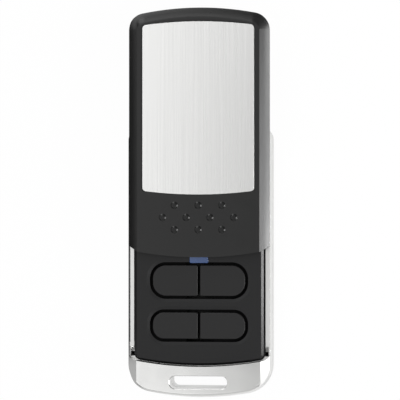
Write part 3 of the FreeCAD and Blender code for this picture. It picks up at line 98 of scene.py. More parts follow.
def plain(piece):
    """Turns a piece's modifiers into its mesh."""
    bpy.context.view_layer.update()
    graph = bpy.context.evaluated_depsgraph_get()
    mesh = bpy.data.meshes.new_from_object(piece.evaluated_get(graph))
    mesh.name = piece.name
    piece.modifiers.clear()
    piece.data = mesh
    return piece


def shade_by_angle(mesh, angle):
    mesh.polygons.foreach_set("use_smooth", [True] * len(mesh.polygons))
    mesh.set_sharp_from_angle(angle=math.radians(angle))


def finished(node, edge, level=None, rim=None, smooth=SMOOTH_ANGLE):
    """A copy of a CAD node with whole flat faces and its edges softly rounded.

    What stands above the level is flattened down to it. A rim is a function that gives the
    edges of a form that are rounded more, and by how much.
    """
    form = bmesh.new()
    form.from_mesh(frame["nodes"][node].data)
    if level is not None:
        for corner in form.verts:
            corner.co.z = min(corner.co.z, level)
    bmesh.ops.remove_doubles(form, verts=form.verts, dist=MERGE)
    bmesh.ops.dissolve_limit(form, angle_limit=math.radians(FLAT_ANGLE),
                             verts=form.verts, edges=form.edges)
    if rim is not None:
        rim_edges, radius = rim(form)
        bmesh.ops.bevel(form, geom=rim_edges, offset=radius, segments=RIM_SEGMENTS,
                        profile=ROUND_PROFILE, affect="EDGES")
    piece = show(node + "_finished", bare_mesh(node + "_finished", form))
    shade_by_angle(piece.data, smooth)
    bevel = piece.modifiers.new("soft_edges", "BEVEL")
    bevel.width = edge
    bevel.segments = EDGE_SEGMENTS
    bevel.limit_method = "ANGLE"
    bevel.angle_limit = math.radians(EDGE_ANGLE)
    bevel.use_clamp_overlap = True
    bevel.miter_outer = "MITER_ARC"
    plain(piece)
    shade_by_angle(piece.data, smooth)
    weighted = piece.modifiers.new("flat_faces_flat", "WEIGHTED_NORMAL")
    weighted.keep_sharp = True
    return plain(piece)


# Nodes

FADE = 0.1 * MM


def add(tree, kind, inputs=None, **settings):
    """A node with its settings, and its inputs set or linked."""
    made = tree.nodes.new(kind)
    for name, value in settings.items():
        setattr(made, name, value)
    for name, value in (inputs or {}).items():
        if isinstance(value, bpy.types.NodeSocket):
            tree.links.new(value, made.inputs[name])
        else:
            made.inputs[name].default_value = value
    return made


def maths(tree, operation, *values):
    return add(tree, "ShaderNodeMath", dict(enumerate(values)), operation=operation).outputs[0]


def product(tree, first, *others):
    for other in others:
        first = maths(tree, "MULTIPLY", first, other)
    return first


def opposite(tree, share):
    return maths(tree, "SUBTRACT", 1.0, share)


def centred(tree, value):
    """A noise value, which lies round one half, moved to lie round zero."""
    return maths(tree, "SUBTRACT", value, 0.5)


def combined(tree, x=0.0, y=0.0, z=0.0):
    return add(tree, "ShaderNodeCombineXYZ", {"X": x, "Y": y, "Z": z}).outputs["Vector"]


def separated(tree, vector):
    return add(tree, "ShaderNodeSeparateXYZ", {"Vector": vector}).outputs


def stretch(tree, position, x, y, z=1.0):
    """The position with each axis multiplied, for patterns that are longer one way."""
    made = add(tree, "ShaderNodeVectorMath", {0: position, 1: combined(tree, x, y, z)},
               operation="MULTIPLY")
    return made.outputs["Vector"]


def spread(tree, value, span, to=(0.0, 1.0)):
    """Maps a value from one span to another, and holds it there."""
    made = add(tree, "ShaderNodeMapRange", {"Value": value, "From Min": span[0],
                                            "From Max": span[1], "To Min": to[0],
                                            "To Max": to[1]})
    return made.outputs["Result"]


def above(tree, value, start, fade=FADE):
    """0 up to a height or distance, and 1 from a short fade beyond it."""
    return spread(tree, value, (start, start + fade))


def below(tree, value, start, fade=FADE):
    return opposite(tree, above(tree, value, start, fade))


def noise(tree, position, scale=1.0, detail=2.0, roughness=0.5):
    made = add(tree, "ShaderNodeTexNoise", {"Vector": position, "Scale": scale,
                                            "Detail": detail, "Roughness": roughness})
    return made.outputs["Fac"]


# Effects that several materials share

def new_group(name, inputs, outputs):
    """A shader group with its sockets; gives the tree, its inputs' values and its end node."""
    tree = bpy.data.node_groups.new(name, "ShaderNodeTree")
    for socket, value in inputs.items():
        kind = "NodeSocketVector" if value is None else "NodeSocketFloat"
        made = tree.interface.new_socket(name=socket, in_out="INPUT", socket_type=kind)
        if value is not None:
            made.default_value = value
    for socket in outputs:
        tree.interface.new_socket(name=socket, in_out="OUTPUT", socket_type="NodeSocketFloat")
    return tree, tree.nodes.new("NodeGroupInput").outputs, tree.nodes.new("NodeGroupOutput")


def put_out(tree, end, values):
    for name, value in values.items():
        tree.links.new(value, end.inputs[name])
    return tree


def moulded_grain_group():
    """Fine spark-eroded grain of moulded plastic, with slow changes in its sheen."""
    pit_share = 0.3
    sheen_patches_per_metre = 90.0
    tree, given, end = new_group("moulded_grain", {"Position": None, "Grains per metre": 7000.0,
                                                   "Sheen span": 0.05},
                                 ("Height", "Sheen"))
    position = given["Position"]
    fine = noise(tree, position, given["Grains per metre"], detail=3.0, roughness=0.6)
    pits = add(tree, "ShaderNodeTexVoronoi", {"Vector": position,
                                              "Scale": given["Grains per metre"]})
    pit = spread(tree, pits.outputs["Distance"], (0.0, 0.6))
    height = maths(tree, "MULTIPLY_ADD", fine, 1.0 - pit_share, product(tree, pit, pit_share))
    slow = noise(tree, position, sheen_patches_per_metre)
    sheen = product(tree, centred(tree, slow), given["Sheen span"])
    return put_out(tree, end, {"Height": height, "Sheen": sheen})


def brushed_lines_group():
    """Long fine lines along Y, with coarser streaks in patches, all fainter at the left."""
    fine_along, streaks_across, streaks_along = 22.0, 3000.0, 11.0
    patches_across, patches_along = 150.0, 40.0
    grain_share = 0.75
    faint_end, full_start, faintness = -12.0 * MM, 4.0 * MM, 0.35
    tree, given, end = new_group("brushed_lines", {"Position": None, "Lines per metre": 5200.0},
                                 ("Height", "Tone"))
    position = given["Position"]
    fine = noise(tree, stretch(tree, position, given["Lines per metre"], fine_along),
                 detail=3.0, roughness=0.65)
    coarse = noise(tree, stretch(tree, position, streaks_across, streaks_along), roughness=0.6)
    patches = noise(tree, stretch(tree, position, patches_across, patches_along), detail=1.0)
    strength = spread(tree, separated(tree, position)["X"], (faint_end, full_start),
                      (faintness, 1.0))
    where = product(tree, spread(tree, patches, (0.40, 0.62), (0.25, 1.0)), strength)
    streaks = product(tree, centred(tree, coarse), where)
    grain = product(tree, centred(tree, fine), strength)
    tone = maths(tree, "MULTIPLY_ADD", grain, grain_share, streaks)
    return put_out(tree, end, {"Height": fine, "Tone": tone})


def handling_group():
    """Faint smears and very fine hairlines that a handled surface has."""
    smears_per_metre, hairlines_across, hairlines_along = 160.0, 5200.0, 900.0
    tree, given, end = new_group("handling_marks", {"Position": None, "Smear span": 0.06},
                                 ("Smear", "Hairlines"))
    position = given["Position"]
    soft = noise(tree, position, smears_per_metre, detail=3.0, roughness=0.6)
    smear = product(tree, spread(tree, soft, (0.4, 0.75)), given["Smear span"])
    lines = noise(tree, stretch(tree, position, hairlines_along, hairlines_across,
                                hairlines_along), roughness=0.7)
    hairlines = spread(tree, lines, (0.66, 0.8))
    return put_out(tree, end, {"Smear": smear, "Hairlines": hairlines})


def turned_corner_group():
    """Which way a border faces: sideways along a long side, lengthways round an end.

    The border follows an outline with an arched end and two round corners. The distance is
    measured outwards from a line that runs within the outline, in step with it, through the
    middles of its corners.
    """
    not_zero = 1e-6
    tree, given, end = new_group("turned_corner", {"Position": None, "Corner across": 0.014,
                                                   "Corner along": 0.059, "Arch radius": 0.0645,
                                                   "Direction": 1.0},
                                 ("Sideways", "Lengthways", "Distance"))
    place = separated(tree, given["Position"])
    aside = maths(tree, "ABSOLUTE", place["X"])
    along = product(tree, place["Y"], given["Direction"])
    arch_square = product(tree, given["Arch radius"], given["Arch radius"])

    def arch_height(x):
        return maths(tree, "SQRT", maths(tree, "SUBTRACT", arch_square, product(tree, x, x)))

    held = maths(tree, "MINIMUM", aside, given["Corner across"])
    swell = maths(tree, "SUBTRACT", arch_height(held), arch_height(given["Corner across"]))
    across = maths(tree, "MAXIMUM", maths(tree, "SUBTRACT", aside, given["Corner across"]), 0.0)
    past = maths(tree, "SUBTRACT", maths(tree, "SUBTRACT", along, given["Corner along"]), swell)
    past = maths(tree, "MAXIMUM", past, 0.0)
    square = maths(tree, "MULTIPLY_ADD", across, across, product(tree, past, past))
    distance = maths(tree, "MAXIMUM", maths(tree, "SQRT", square), not_zero)
    side = maths(tree, "SIGN", place["X"])
    sideways = product(tree, maths(tree, "DIVIDE", across, distance), side)
    lengthways = product(tree, maths(tree, "DIVIDE", past, distance), given["Direction"])
    return put_out(tree, end, {"Sideways": sideways, "Lengthways": lengthways,
                               "Distance": distance})


moulded_grain = moulded_grain_group()
brushed_lines = brushed_lines_group()
handling_marks = handling_group()
turned_corner = turned_corner_group()


# Parts of a material

def new_material(name):
    material = bpy.data.materials.new(name)
    material.use_nodes = True
    tree = material.node_tree
    position = tree.nodes.new("ShaderNodeTexCoord").outputs["Object"]
    return material, tree, tree.nodes["Principled BSDF"], position


def use(tree, group, inputs):
    return add(tree, "ShaderNodeGroup", inputs, node_tree=group).outputs


def bump(tree, shader, height, strength, depth, main_form=None):
    """Bumps of a depth in millimetres, on top of the normal of the main form."""
    made = add(tree, "ShaderNodeBump", {"Height": height, "Strength": strength,
                                        "Distance": depth * MM})
    tree.links.new(made.outputs["Normal"], shader.inputs["Normal"])
    if main_form is not None:
        tree.links.new(main_form, made.inputs["Normal"])


def tinted(tree, factor, dark, light):
    made = add(tree, "ShaderNodeMix", {"Factor": factor, "A": (*dark, 1.0), "B": (*light, 1.0)},
               data_type="RGBA")
    return made.outputs["Result"]


def surface_normal(tree):
    return tree.nodes.new("ShaderNodeNewGeometry").outputs["Normal"]


def leaning_normal(tree, turned, slope, share, own):
    """A normal, blended by a share into one that leans outwards by a slope."""
    lean = combined(tree, product(tree, turned["Sideways"], slope),
                    product(tree, turned["Lengthways"], slope), 1.0)
    leaning = add(tree, "ShaderNodeVectorMath", {0: lean}, operation="NORMALIZE")
    blended = add(tree, "ShaderNodeMix", {"Factor": share, "A": own,
                                          "B": leaning.outputs["Vector"]}, data_type="VECTOR")
    return blended.outputs["Result"]


COVER_OUTLINE = {"Corner across": 13.83 * MM, "Corner along": 59.21 * MM,
                 "Arch radius": 64.5 * MM}
RING_OUTLINE = {"Corner across": 11.47 * MM, "Corner along": 28.62 * MM,
                "Arch radius": 61.5 * MM, "Direction": -1.0}


def rolled_border(tree, position):
    """The cover's border: rolled over at the upper end, sloping and crowned at the sides."""
    border_start, roll_start, outline = 1.2 * MM, 1.4 * MM, 4.5 * MM
    facet_start, facet_full = 1.97 * MM, 2.02 * MM
    facet_slopes, roll_slopes = (0.73, 1.30), (0.0, 1.55)
    turned = use(tree, turned_corner, {"Position": position, **COVER_OUTLINE})
    distance = turned["Distance"]
    side_slope = product(tree, spread(tree, distance, (facet_full, outline), facet_slopes),
                         above(tree, distance, facet_start))
    end_slope = spread(tree, distance, (roll_start, outline), roll_slopes)
    to_side = spread(tree, maths(tree, "ABSOLUTE", turned["Sideways"]), (0.5, 0.94))
    slope = maths(tree, "ADD", product(tree, side_slope, to_side),
                  product(tree, end_slope, opposite(tree, to_side)))
    own = surface_normal(tree)
    facing = separated(tree, own)
    share = product(tree, spread(tree, facing["Z"], (0.12, 0.25)),
                    spread(tree, facing["Y"], (-0.35, -0.25)),
                    above(tree, distance, border_start))
    return leaning_normal(tree, turned, slope, share, own)


def bright_frame_form(tree, position):
    """The ring end's side facets, turned round its plan corners, and the left rim's crest."""
    facet_slope, crest_slope = 1.21, 2.0
    facet_aside, facet_foot = 15.80 * MM, 9.0 * MM
    crest_outer, crest_inner = -18.18 * MM, -18.05 * MM
    crest_foot, crest_lower_end = 8.5 * MM, -27.0 * MM
    turned = use(tree, turned_corner, {"Position": position, **RING_OUTLINE})
    place = separated(tree, position)
    own = surface_normal(tree)
    facing_up = separated(tree, own)["Z"]
    facets = product(tree, above(tree, maths(tree, "ABSOLUTE", place["X"]), facet_aside),
                     above(tree, place["Z"], facet_foot),
                     spread(tree, facing_up, (0.45, 0.55)),
                     opposite(tree, spread(tree, facing_up, (0.90, 0.97))))
    crest = product(tree, opposite(tree, spread(tree, place["X"], (crest_outer, crest_inner))),
                    above(tree, place["Z"], crest_foot, fade=0.05 * MM),
                    spread(tree, facing_up, (0.3, 0.4)),
                    above(tree, place["Y"], crest_lower_end, fade=1.0 * MM))
    with_facets = leaning_normal(tree, turned, facet_slope, facets, own)
    return leaning_normal(tree, turned, crest_slope, crest, with_facets)


def bright_frame_finish_and_shade(tree, position):
    """Where the frame is satin, up to its ledges, and its rest pocket, dull and with painted
    shade.
    """
    satin_top, satin_outer = 9.2 * MM, 18.23 * MM
    pocket_top, pocket_inner, pocket_outer = 8.2 * MM, 16.5 * MM, 18.03 * MM
    place = separated(tree, position)
    aside = maths(tree, "ABSOLUTE", place["X"])
    satin = product(tree, below(tree, place["Z"], satin_top, fade=0.2 * MM),
                    below(tree, aside, satin_outer))
    pocket = maths(tree, "SUBTRACT", above(tree, aside, pocket_inner),
                   above(tree, aside, pocket_outer))
    return satin, product(tree, pocket, below(tree, place["Z"], pocket_top))


# Materials

def moulded_plastic(name, dark, light, roughness, grains=7000.0, depth=0.012, specular=0.4,
                    form=None):
    """Dyed plastic from a textured mould, with grains of a depth in millimetres.

    A function can give the normal of its main form.
    """
    material, tree, shader, position = new_material(name)
    grain = use(tree, moulded_grain, {"Position": position, "Grains per metre": grains,
                                      "Sheen span": 0.10})
    marks = use(tree, handling_marks, {"Position": position, "Smear span": 0.05})
    tree.links.new(tinted(tree, grain["Height"], dark, light), shader.inputs["Base Color"])
    worn = maths(tree, "SUBTRACT", grain["Sheen"], marks["Smear"])
    tree.links.new(maths(tree, "ADD", worn, roughness), shader.inputs["Roughness"])
    shader.inputs["Specular IOR Level"].default_value = specular
    bump(tree, shader, grain["Height"], strength=0.25, depth=depth,
         main_form=form(tree, position) if form else None)
    return material


def polished_metal(name, colour, roughness, depth=0.004, finish=None, form=None):
    """Plated or bare metal with a few hairlines of a depth in millimetres.

    One function can give where it is satin and where it lies in a dull pocket, whose darker
    colour there is painted shade, and another the normal of its main form.
    """
    # Hairlines are a little darker; the pocket's darker tone is painted shade.
    hairline_tone, pocket_shade_tone = 0.93, 0.85
    satin_roughness, pocket_roughness = 0.16, 0.12
    material, tree, shader, position = new_material(name)
    marks = use(tree, handling_marks, {"Position": position, "Smear span": 0.07})
    shader.inputs["Metallic"].default_value = 1.0
    worn = maths(tree, "ADD", marks["Smear"], roughness)
    hairlines_and_pocket_shade, tone = marks["Hairlines"], hairline_tone
    if finish:
        satin, pocket = finish(tree, position)
        worn = maths(tree, "MULTIPLY_ADD", pocket, pocket_roughness, worn)
        worn = maths(tree, "MULTIPLY_ADD", satin, satin_roughness, worn)
        # In the rest pocket the colour is darkened as painted shade.
        hairlines_and_pocket_shade, tone = pocket, pocket_shade_tone
    dark = [part * tone for part in colour]
    tree.links.new(tinted(tree, hairlines_and_pocket_shade, colour, dark), shader.inputs["Base Color"])
    tree.links.new(worn, shader.inputs["Roughness"])
    bump(tree, shader, marks["Hairlines"], strength=0.1, depth=depth,
         main_form=form(tree, position) if form else None)
    return material


def brushed_metal(name, dark, light, roughness):
    """Sheet aluminium brushed along Y and lacquered."""
    rougher = 0.06
    material, tree, shader, position = new_material(name)
    lines = use(tree, brushed_lines, {"Position": position, "Lines per metre": 5200.0})
    shader.inputs["Metallic"].default_value = 1.0
    tone = spread(tree, lines["Tone"], (-0.20, 0.20))
    tree.links.new(tinted(tree, tone, dark, light), shader.inputs["Base Color"])
    rough = spread(tree, lines["Tone"], (-0.3, 0.3), (roughness + rougher, roughness - rougher))
    tree.links.new(rough, shader.inputs["Roughness"])
    bump(tree, shader, lines["Height"], strength=0.3, depth=0.004)
    return material


def light_window_blue():
    """Blue light window, opaque: its dark blue is painted shade of the dark well under the
    clear window.
    """
    clouds_per_metre = 700.0
    roughness = 0.16
    material, tree, shader, position = new_material("light_window_blue")
    marks = use(tree, handling_marks, {"Position": position, "Smear span": 0.08})
    cloud = noise(tree, position, clouds_per_metre)
    tree.links.new(tinted(tree, cloud, (0.028, 0.062, 0.168), (0.037, 0.083, 0.222)),
                   shader.inputs["Base Color"])
    tree.links.new(maths(tree, "ADD", marks["Smear"], roughness), shader.inputs["Roughness"])
    shader.inputs["Coat Weight"].default_value = 0.4
    return material


def board_solder_mask():
    """Board under a black solder mask, with its tracks showing faintly."""
    fibres_per_metre = 2600.0
    fibre_share, track_share = 0.3, 0.6
    material, tree, shader, position = new_material("board_solder_mask")
    tracks = add(tree, "ShaderNodeTexBrick", {"Vector": position, "Scale": 260.0,
                                              "Mortar Size": 0.06})
    fibre = noise(tree, position, fibres_per_metre, detail=3.0)
    shade = maths(tree, "MULTIPLY_ADD", fibre, fibre_share,
                  product(tree, tracks.outputs["Fac"], track_share))
    tree.links.new(tinted(tree, shade, (0.004, 0.004, 0.004), (0.009, 0.010, 0.009)),
                   shader.inputs["Base Color"])
    tree.links.new(spread(tree, fibre, (0.3, 0.7), (0.50, 0.62)), shader.inputs["Roughness"])
    bump(tree, shader, tracks.outputs["Fac"], strength=0.4, depth=0.03)
    return material


MATERIALS = {
    "chrome": polished_metal("satin_chrome", (0.74, 0.74, 0.73), roughness=0.15,
                             finish=bright_frame_finish_and_shade, form=bright_frame_form),
    "black_plastic": moulded_plastic("housing_black", (0.004, 0.004, 0.0045),
                                     (0.011, 0.011, 0.0115), roughness=0.40, specular=0.29),
    "cover_plastic": moulded_plastic("cover_black", (0.004, 0.004, 0.004),
                                     (0.011, 0.011, 0.011), roughness=0.33,
                                     form=rolled_border),
    "key_plastic": moulded_plastic("key_black", (0.004, 0.004, 0.0042),
                                   (0.011, 0.0108, 0.0112), roughness=0.42,
                                   grains=9000.0, specular=0.34),
    "brushed_aluminium": brushed_metal("brushed_aluminium", (0.78, 0.78, 0.77),
                                       (0.90, 0.90, 0.89), roughness=0.25),
    "blue_window": light_window_blue(),
    "seal_rubber": moulded_plastic("seal_rubber_grey", (0.020, 0.020, 0.021),
                                   (0.035, 0.035, 0.036), roughness=0.65,
                                   grains=4000.0, depth=0.02),
    "screw_steel": polished_metal("screw_zinc", (0.56, 0.56, 0.55), roughness=0.28, depth=0.01),
    "contact_steel": polished_metal("contact_nickel", (0.66, 0.64, 0.58), roughness=0.24,
                                    depth=0.008),
    "runner_steel": polished_metal("runner_steel", (0.58, 0.58, 0.58), roughness=0.30,
                                   depth=0.008),
    "board": board_solder_mask(),
    "chip": moulded_plastic("chip_epoxy", (0.012, 0.012, 0.013), (0.03, 0.03, 0.03),
                            roughness=0.5, grains=12000.0),
    "switch_plastic": moulded_plastic("switch_nylon", (0.30, 0.29, 0.27), (0.40, 0.39, 0.36),
                                      roughness=0.5),
    "copper": polished_metal("antenna_copper", (0.80, 0.45, 0.30), roughness=0.25, depth=0.006),
    "led": moulded_plastic("indicator_resin", (0.62, 0.64, 0.66), (0.78, 0.80, 0.82),
                           roughness=0.3),
    "film": moulded_plastic("adhesive_film", (0.55, 0.54, 0.50), (0.68, 0.67, 0.63),
                            roughness=0.55),
}

# The pips' plastic is polished by the thumb, and its colour is darker than the cover's as
# painted shade on the pips.
PIP_SHADED_BLACK = moulded_plastic("thumb_polished_shaded_black", (0.003, 0.003, 0.003),
                            (0.008, 0.008, 0.008), roughness=0.27, depth=0.004, specular=0.34)
# Matt black for faces deep in the grooves, with its reflection nearly taken away as painted
# shade.
GROOVE_SHADE_BLACK = moulded_plastic("groove_shade_black", (0.004, 0.004, 0.004), (0.010, 0.010, 0.010),
                               roughness=0.8, specular=0.03)

SLOTS = {entry["node"]: entry["material_slot"] for entry in frame["record"]["subparts"]}

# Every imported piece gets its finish, also those that a finished copy replaces.
for node, slot in SLOTS.items():
    cad_mesh = frame["nodes"][node].data
    cad_mesh.materials.clear()
    cad_mesh.materials.append(MATERIALS[slot])


# Pieces of the case and the cover, finished from their CAD solids

KEYS = ("upper_left_key", "upper_right_key", "lower_left_key", "lower_right_key")

# How wide each piece's soft edges are.
SOFT_EDGES = {
    "chrome_frame": 0.06 * MM,
    "front_housing": 0.12 * MM,
    "rear_housing": 0.15 * MM,
    "slider_cover": 0.22 * MM,
    "slider_inlay": 0.08 * MM,
    "light_pipe": 0.25 * MM,
    "battery_cap": 0.12 * MM,
    "left_runner": 0.05 * MM,
    "right_runner": 0.05 * MM,
    **{key: 0.08 * MM for key in KEYS},
}

# The heights under which faces get the grooves' painted shade: on the key plate those in a
# groove between keys and key plate, on the keys also the outer part of their rounded top edges,
# whose highlight it takes away.
GROOVE_TOPS = {"front_housing": 10.5 * MM, **{key: 10.70 * MM for key in KEYS}}
GROOVES_HALF_WIDTH = 13.6 * MM

# The cover's own pips are levelled down to its top, and smoother ones are set there later.
COVER_TOP = 13.0 * MM


def slot_rim(form):
    """The upper edge of the key-ring slot, worn rounder by the ring."""
    ring_top, reach, foot, head = 12.7 * MM, 7.7 * MM, -33.7 * MM, -29.9 * MM
    radius = 0.2 * MM
    edges = [edge for edge in form.edges
             if all(abs(corner.co.z - ring_top) < MERGE and abs(corner.co.x) < reach
                    and foot < corner.co.y < head for corner in edge.verts)]
    return edges, radius


def shade_grooves_matt(piece, top):
    """The unpolished mould leaves a matt finish on faces that lie deep; their second material
    also reflects almost nothing, which is painted shade.
    """
    piece.data.materials.append(GROOVE_SHADE_BLACK)
    for face in piece.data.polygons:
        deep = face.center.z < top and abs(face.center.x) < GROOVES_HALF_WIDTH
        face.material_index = 1 if deep else 0


def stand_for(piece, node):
    """A finished piece takes the node's place, on its body and with its material."""
    slot = SLOTS[node]
    piece.data.materials.clear()
    piece.data.materials.append(MATERIALS[slot])
    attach(piece, frame["nodes"][node]["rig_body"])
    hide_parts(node)


# What only one of the pieces needs.
LEVELS = {"slider_cover": COVER_TOP}
RIMS = {"chrome_frame": slot_rim}
SMOOTH_UP_TO = {"front_housing": CRISP_ANGLE}

for node, edge in SOFT_EDGES.items():
    soft = finished(node, edge, level=LEVELS.get(node), rim=RIMS.get(node),
                    smooth=SMOOTH_UP_TO.get(node, SMOOTH_ANGLE))
    stand_for(soft, node)
    if node in GROOVE_TOPS:
        shade_grooves_matt(soft, GROOVE_TOPS[node])


# Repeated pieces, made with Geometry Nodes

class Shaping:
    """A geometry tree with named size inputs, which makes a part at each of its places."""

    def __init__(self, name, sizes):
        self.tree = bpy.data.node_groups.new(name, "GeometryNodeTree")
        self.sizes = sizes
        self.identifiers = {}
        self.new_socket("Geometry", "INPUT", "NodeSocketGeometry")
        for size, value in sizes.items():
            made = self.new_socket(size, "INPUT", "NodeSocketFloat")
            made.default_value = value
            self.identifiers[size] = made.identifier
        self.new_socket("Geometry", "OUTPUT", "NodeSocketGeometry")
        self.given = self.tree.nodes.new("NodeGroupInput").outputs
        self.end = self.tree.nodes.new("NodeGroupOutput")

    def new_socket(self, name, side, kind):
        return self.tree.interface.new_socket(name=name, in_out=side, socket_type=kind)

    def finish(self, part, material):
        """The part at every place, as real geometry with its material."""
        tree = self.tree
        spots = add(tree, "GeometryNodeMeshToPoints", {"Mesh": self.given["Geometry"]})
        copies = add(tree, "GeometryNodeInstanceOnPoints", {"Points": spots.outputs["Points"],
                                                            "Instance": part})
        real = add(tree, "GeometryNodeRealizeInstances",
                   {"Geometry": copies.outputs["Instances"]})
        dressed = add(tree, "GeometryNodeSetMaterial", {"Geometry": real.outputs["Geometry"],
                                                        "Material": material})
        tree.links.new(dressed.outputs["Geometry"], self.end.inputs["Geometry"])

    def made_at(self, name, places):
        """A piece with the part at each place, and the sizes set on the modifier."""
        mesh = bpy.data.meshes.new(name)
        mesh.from_pydata(places, [], [])
        piece = show(name, mesh)
        shaping = piece.modifiers.new("shaping", "NODES")
        shaping.node_group = self.tree
        for size, value in self.sizes.items():
            shaping[self.identifiers[size]] = value
        plain(piece)
        shade_by_angle(piece.data, SMOOTH_ANGLE)
        return piece


def grip_pip_shaping(sizes, material):
    """Low round pips with a flat top and a soft shoulder, and a root in the cover.

    Each is a ball whose upper half becomes the pip and whose lower half becomes the flat root.
    """
    below_equator = -0.01
    shaping = Shaping("grip_pip", sizes)
    tree, given = shaping.tree, shaping.given
    ball = add(tree, "GeometryNodeMeshUVSphere", {"Segments": 40, "Rings": 28, "Radius": 1.0})
    place = separated(tree, add(tree, "GeometryNodeInputPosition").outputs["Position"])
    reach = add(tree, "ShaderNodeVectorMath", {0: combined(tree, place["X"], place["Y"])},
                operation="LENGTH")
    inner = maths(tree, "DIVIDE", given["Top radius"], given["Foot radius"])
    shoulder = add(tree, "ShaderNodeMapRange", {"Value": reach.outputs["Value"],
                                                "From Min": inner, "From Max": 1.0,
                                                "To Min": 1.0, "To Max": 0.0},
                   interpolation_type="SMOOTHSTEP")
    upper = maths(tree, "GREATER_THAN", place["Z"], below_equator)
    raised = product(tree, shoulder.outputs["Result"], given["Height"], upper)
    sunk = product(tree, given["Root depth"], opposite(tree, upper))
    shaped = combined(tree, product(tree, place["X"], given["Foot radius"]),
                      product(tree, place["Y"], given["Foot radius"]),
                      maths(tree, "SUBTRACT", raised, sunk))
    formed = add(tree, "GeometryNodeSetPosition", {"Geometry": ball.outputs["Mesh"],
                                                   "Position": shaped})
    shaping.finish(formed.outputs["Geometry"], material)
    return shaping


def cross_screw_shaping(sizes, material):
    """Small case screws: a flat head with a cross recess, and a plain shank above it."""
    rim_share, rim_height_share = 0.93, 0.16
    shaping = Shaping("cross_screw", sizes)
    tree, given = shaping.tree, shaping.given

    def lifted(solid, height):
        made = add(tree, "GeometryNodeTransform", {"Geometry": solid.outputs["Mesh"],
                                                   "Translation": combined(tree, z=height)})
        return made.outputs["Geometry"]

    rim_height = product(tree, given["Head height"], rim_height_share)
    disc_height = maths(tree, "SUBTRACT", given["Head height"], rim_height)
    rim_radius = product(tree, given["Head radius"], rim_share)
    rim = add(tree, "GeometryNodeMeshCone", {"Vertices": 48, "Depth": rim_height,
                                             "Radius Top": given["Head radius"],
                                             "Radius Bottom": rim_radius})
    disc = add(tree, "GeometryNodeMeshCylinder", {"Vertices": 48, "Depth": disc_height,
                                                  "Radius": given["Head radius"]})
    disc_middle = maths(tree, "ADD", rim_height, product(tree, disc_height, 0.5))
    shank = add(tree, "GeometryNodeMeshCylinder", {"Vertices": 32, "Depth": given["Length"],
                                                   "Radius": given["Shank radius"]})
    shank_middle = product(tree, given["Length"], 0.5)
    solid = add(tree, "GeometryNodeMeshBoolean", operation="UNION")
    for mesh in (rim.outputs["Mesh"], lifted(disc, disc_middle), lifted(shank, shank_middle)):
        tree.links.new(mesh, solid.inputs["Mesh"])
    bars = add(tree, "GeometryNodeJoinGeometry")
    bar_height = product(tree, given["Recess depth"], 2.0)
    for x, y in (("Recess width", "Recess span"), ("Recess span", "Recess width")):
        bar = add(tree, "GeometryNodeMeshCube",
                  {"Size": combined(tree, given[x], given[y], bar_height)})
        tree.links.new(bar.outputs["Mesh"], bars.inputs["Geometry"])
    cut = add(tree, "GeometryNodeMeshBoolean", {"Mesh 1": solid.outputs["Mesh"],
                                                "Mesh 2": bars.outputs["Geometry"]},
              operation="DIFFERENCE")
    shaping.finish(cut.outputs["Mesh"], material)
    return shaping


PIP_SIZES = {"Foot radius": 1.02 * MM, "Top radius": 0.52 * MM, "Height": 0.31 * MM,
             "Root depth": 0.15 * MM}
PIP_PITCH = 6.16 * MM
PIP_ROW_PITCH = 3.13 * MM
PIP_MIDDLE_ROW = 10.82 * MM
PIP_ROWS = (3, 4, 3)

SCREW_SIZES = {"Head radius": 1.75 * MM, "Head height": 1.0 * MM, "Shank radius": 0.9 * MM,
               "Length": 8.1 * MM, "Recess width": 0.55 * MM, "Recess span": 2.1 * MM,
               "Recess depth": 0.65 * MM}
SCREW_ASIDE = 12.33 * MM
SCREW_ROWS = (28.82 * MM, -23.50 * MM)
SCREW_HEAD = 0.3 * MM


def pip_places():
    """Staggered rows on the cover, each centred, from the upper end down."""
    places = []
    for row, count in enumerate(PIP_ROWS):
        along = PIP_MIDDLE_ROW + (1 - row) * PIP_ROW_PITCH
        for column in range(count):
            across = (column - (count - 1) / 2) * PIP_PITCH
            places.append((across, along, COVER_TOP))
    return places


def screw_places():
    return [(side * SCREW_ASIDE, along, SCREW_HEAD) for side in (1, -1) for along in SCREW_ROWS]


grip = grip_pip_shaping(PIP_SIZES, PIP_SHADED_BLACK).made_at("grip_pips", pip_places())
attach(grip, "cover")

crossed_screws = cross_screw_shaping(SCREW_SIZES, MATERIALS["screw_steel"])
stand_for(crossed_screws.made_at("crossed_case_screws", screw_places()), "case_screws")


# Floor, lights and camera

WHITE = (1.0, 1.0, 1.0, 1.0)
FLOOR_GREY = (0.86, 0.86, 0.86, 1.0)
FLOOR_HALF = 1.6
FLOOR_SEEN = 0.97
FLOOR_MIRRORED = 0.8

# The camera looks at AIM from above, leaning a little to the right. Lens and sensor are in
# millimetres, as Blender takes them.
AIM = Vector((0.0, 15.33 * MM, 7.7 * MM))
VIEW_DISTANCE = 0.5428
SIDE_LEAN = 0.10
LENS = 187.5
SENSOR = 36.0

# Cards beside the object, just above the floor, seen in reflections only. A card's brightness
# goes from the first glow to the second over the fade, which lies along the axis.
CARD_RAISE = 0.4 * MM
CARDS = {
    # The left card is dark: a painted shadow on the floor beside the object, seen in
    # reflections only.
    "left_shadow_card": dict(x=(-0.45, -0.0195), y=(-0.090, 0.075),
                      axis="Y", fade=(-0.030, -0.022), glow=(0.55, 0.05)),
    "right_card": dict(x=(0.05, 0.40), y=(-0.020, 0.095),
                       axis="Y", fade=(-0.01, 0.02), glow=(25.0, 10.0)),
    "ring_card": dict(x=(0.05, 0.40), y=(-0.080, -0.020),
                      axis="Y", fade=(-0.05, -0.03), glow=(1.5, 1.7)),
    "upper_card": dict(x=(-0.30, 0.14), y=(0.078, 0.40),
                       axis="X", fade=(-0.025, 0.015), glow=(1.3, 0.10)),
}

WORLD_GLOW = 0.28

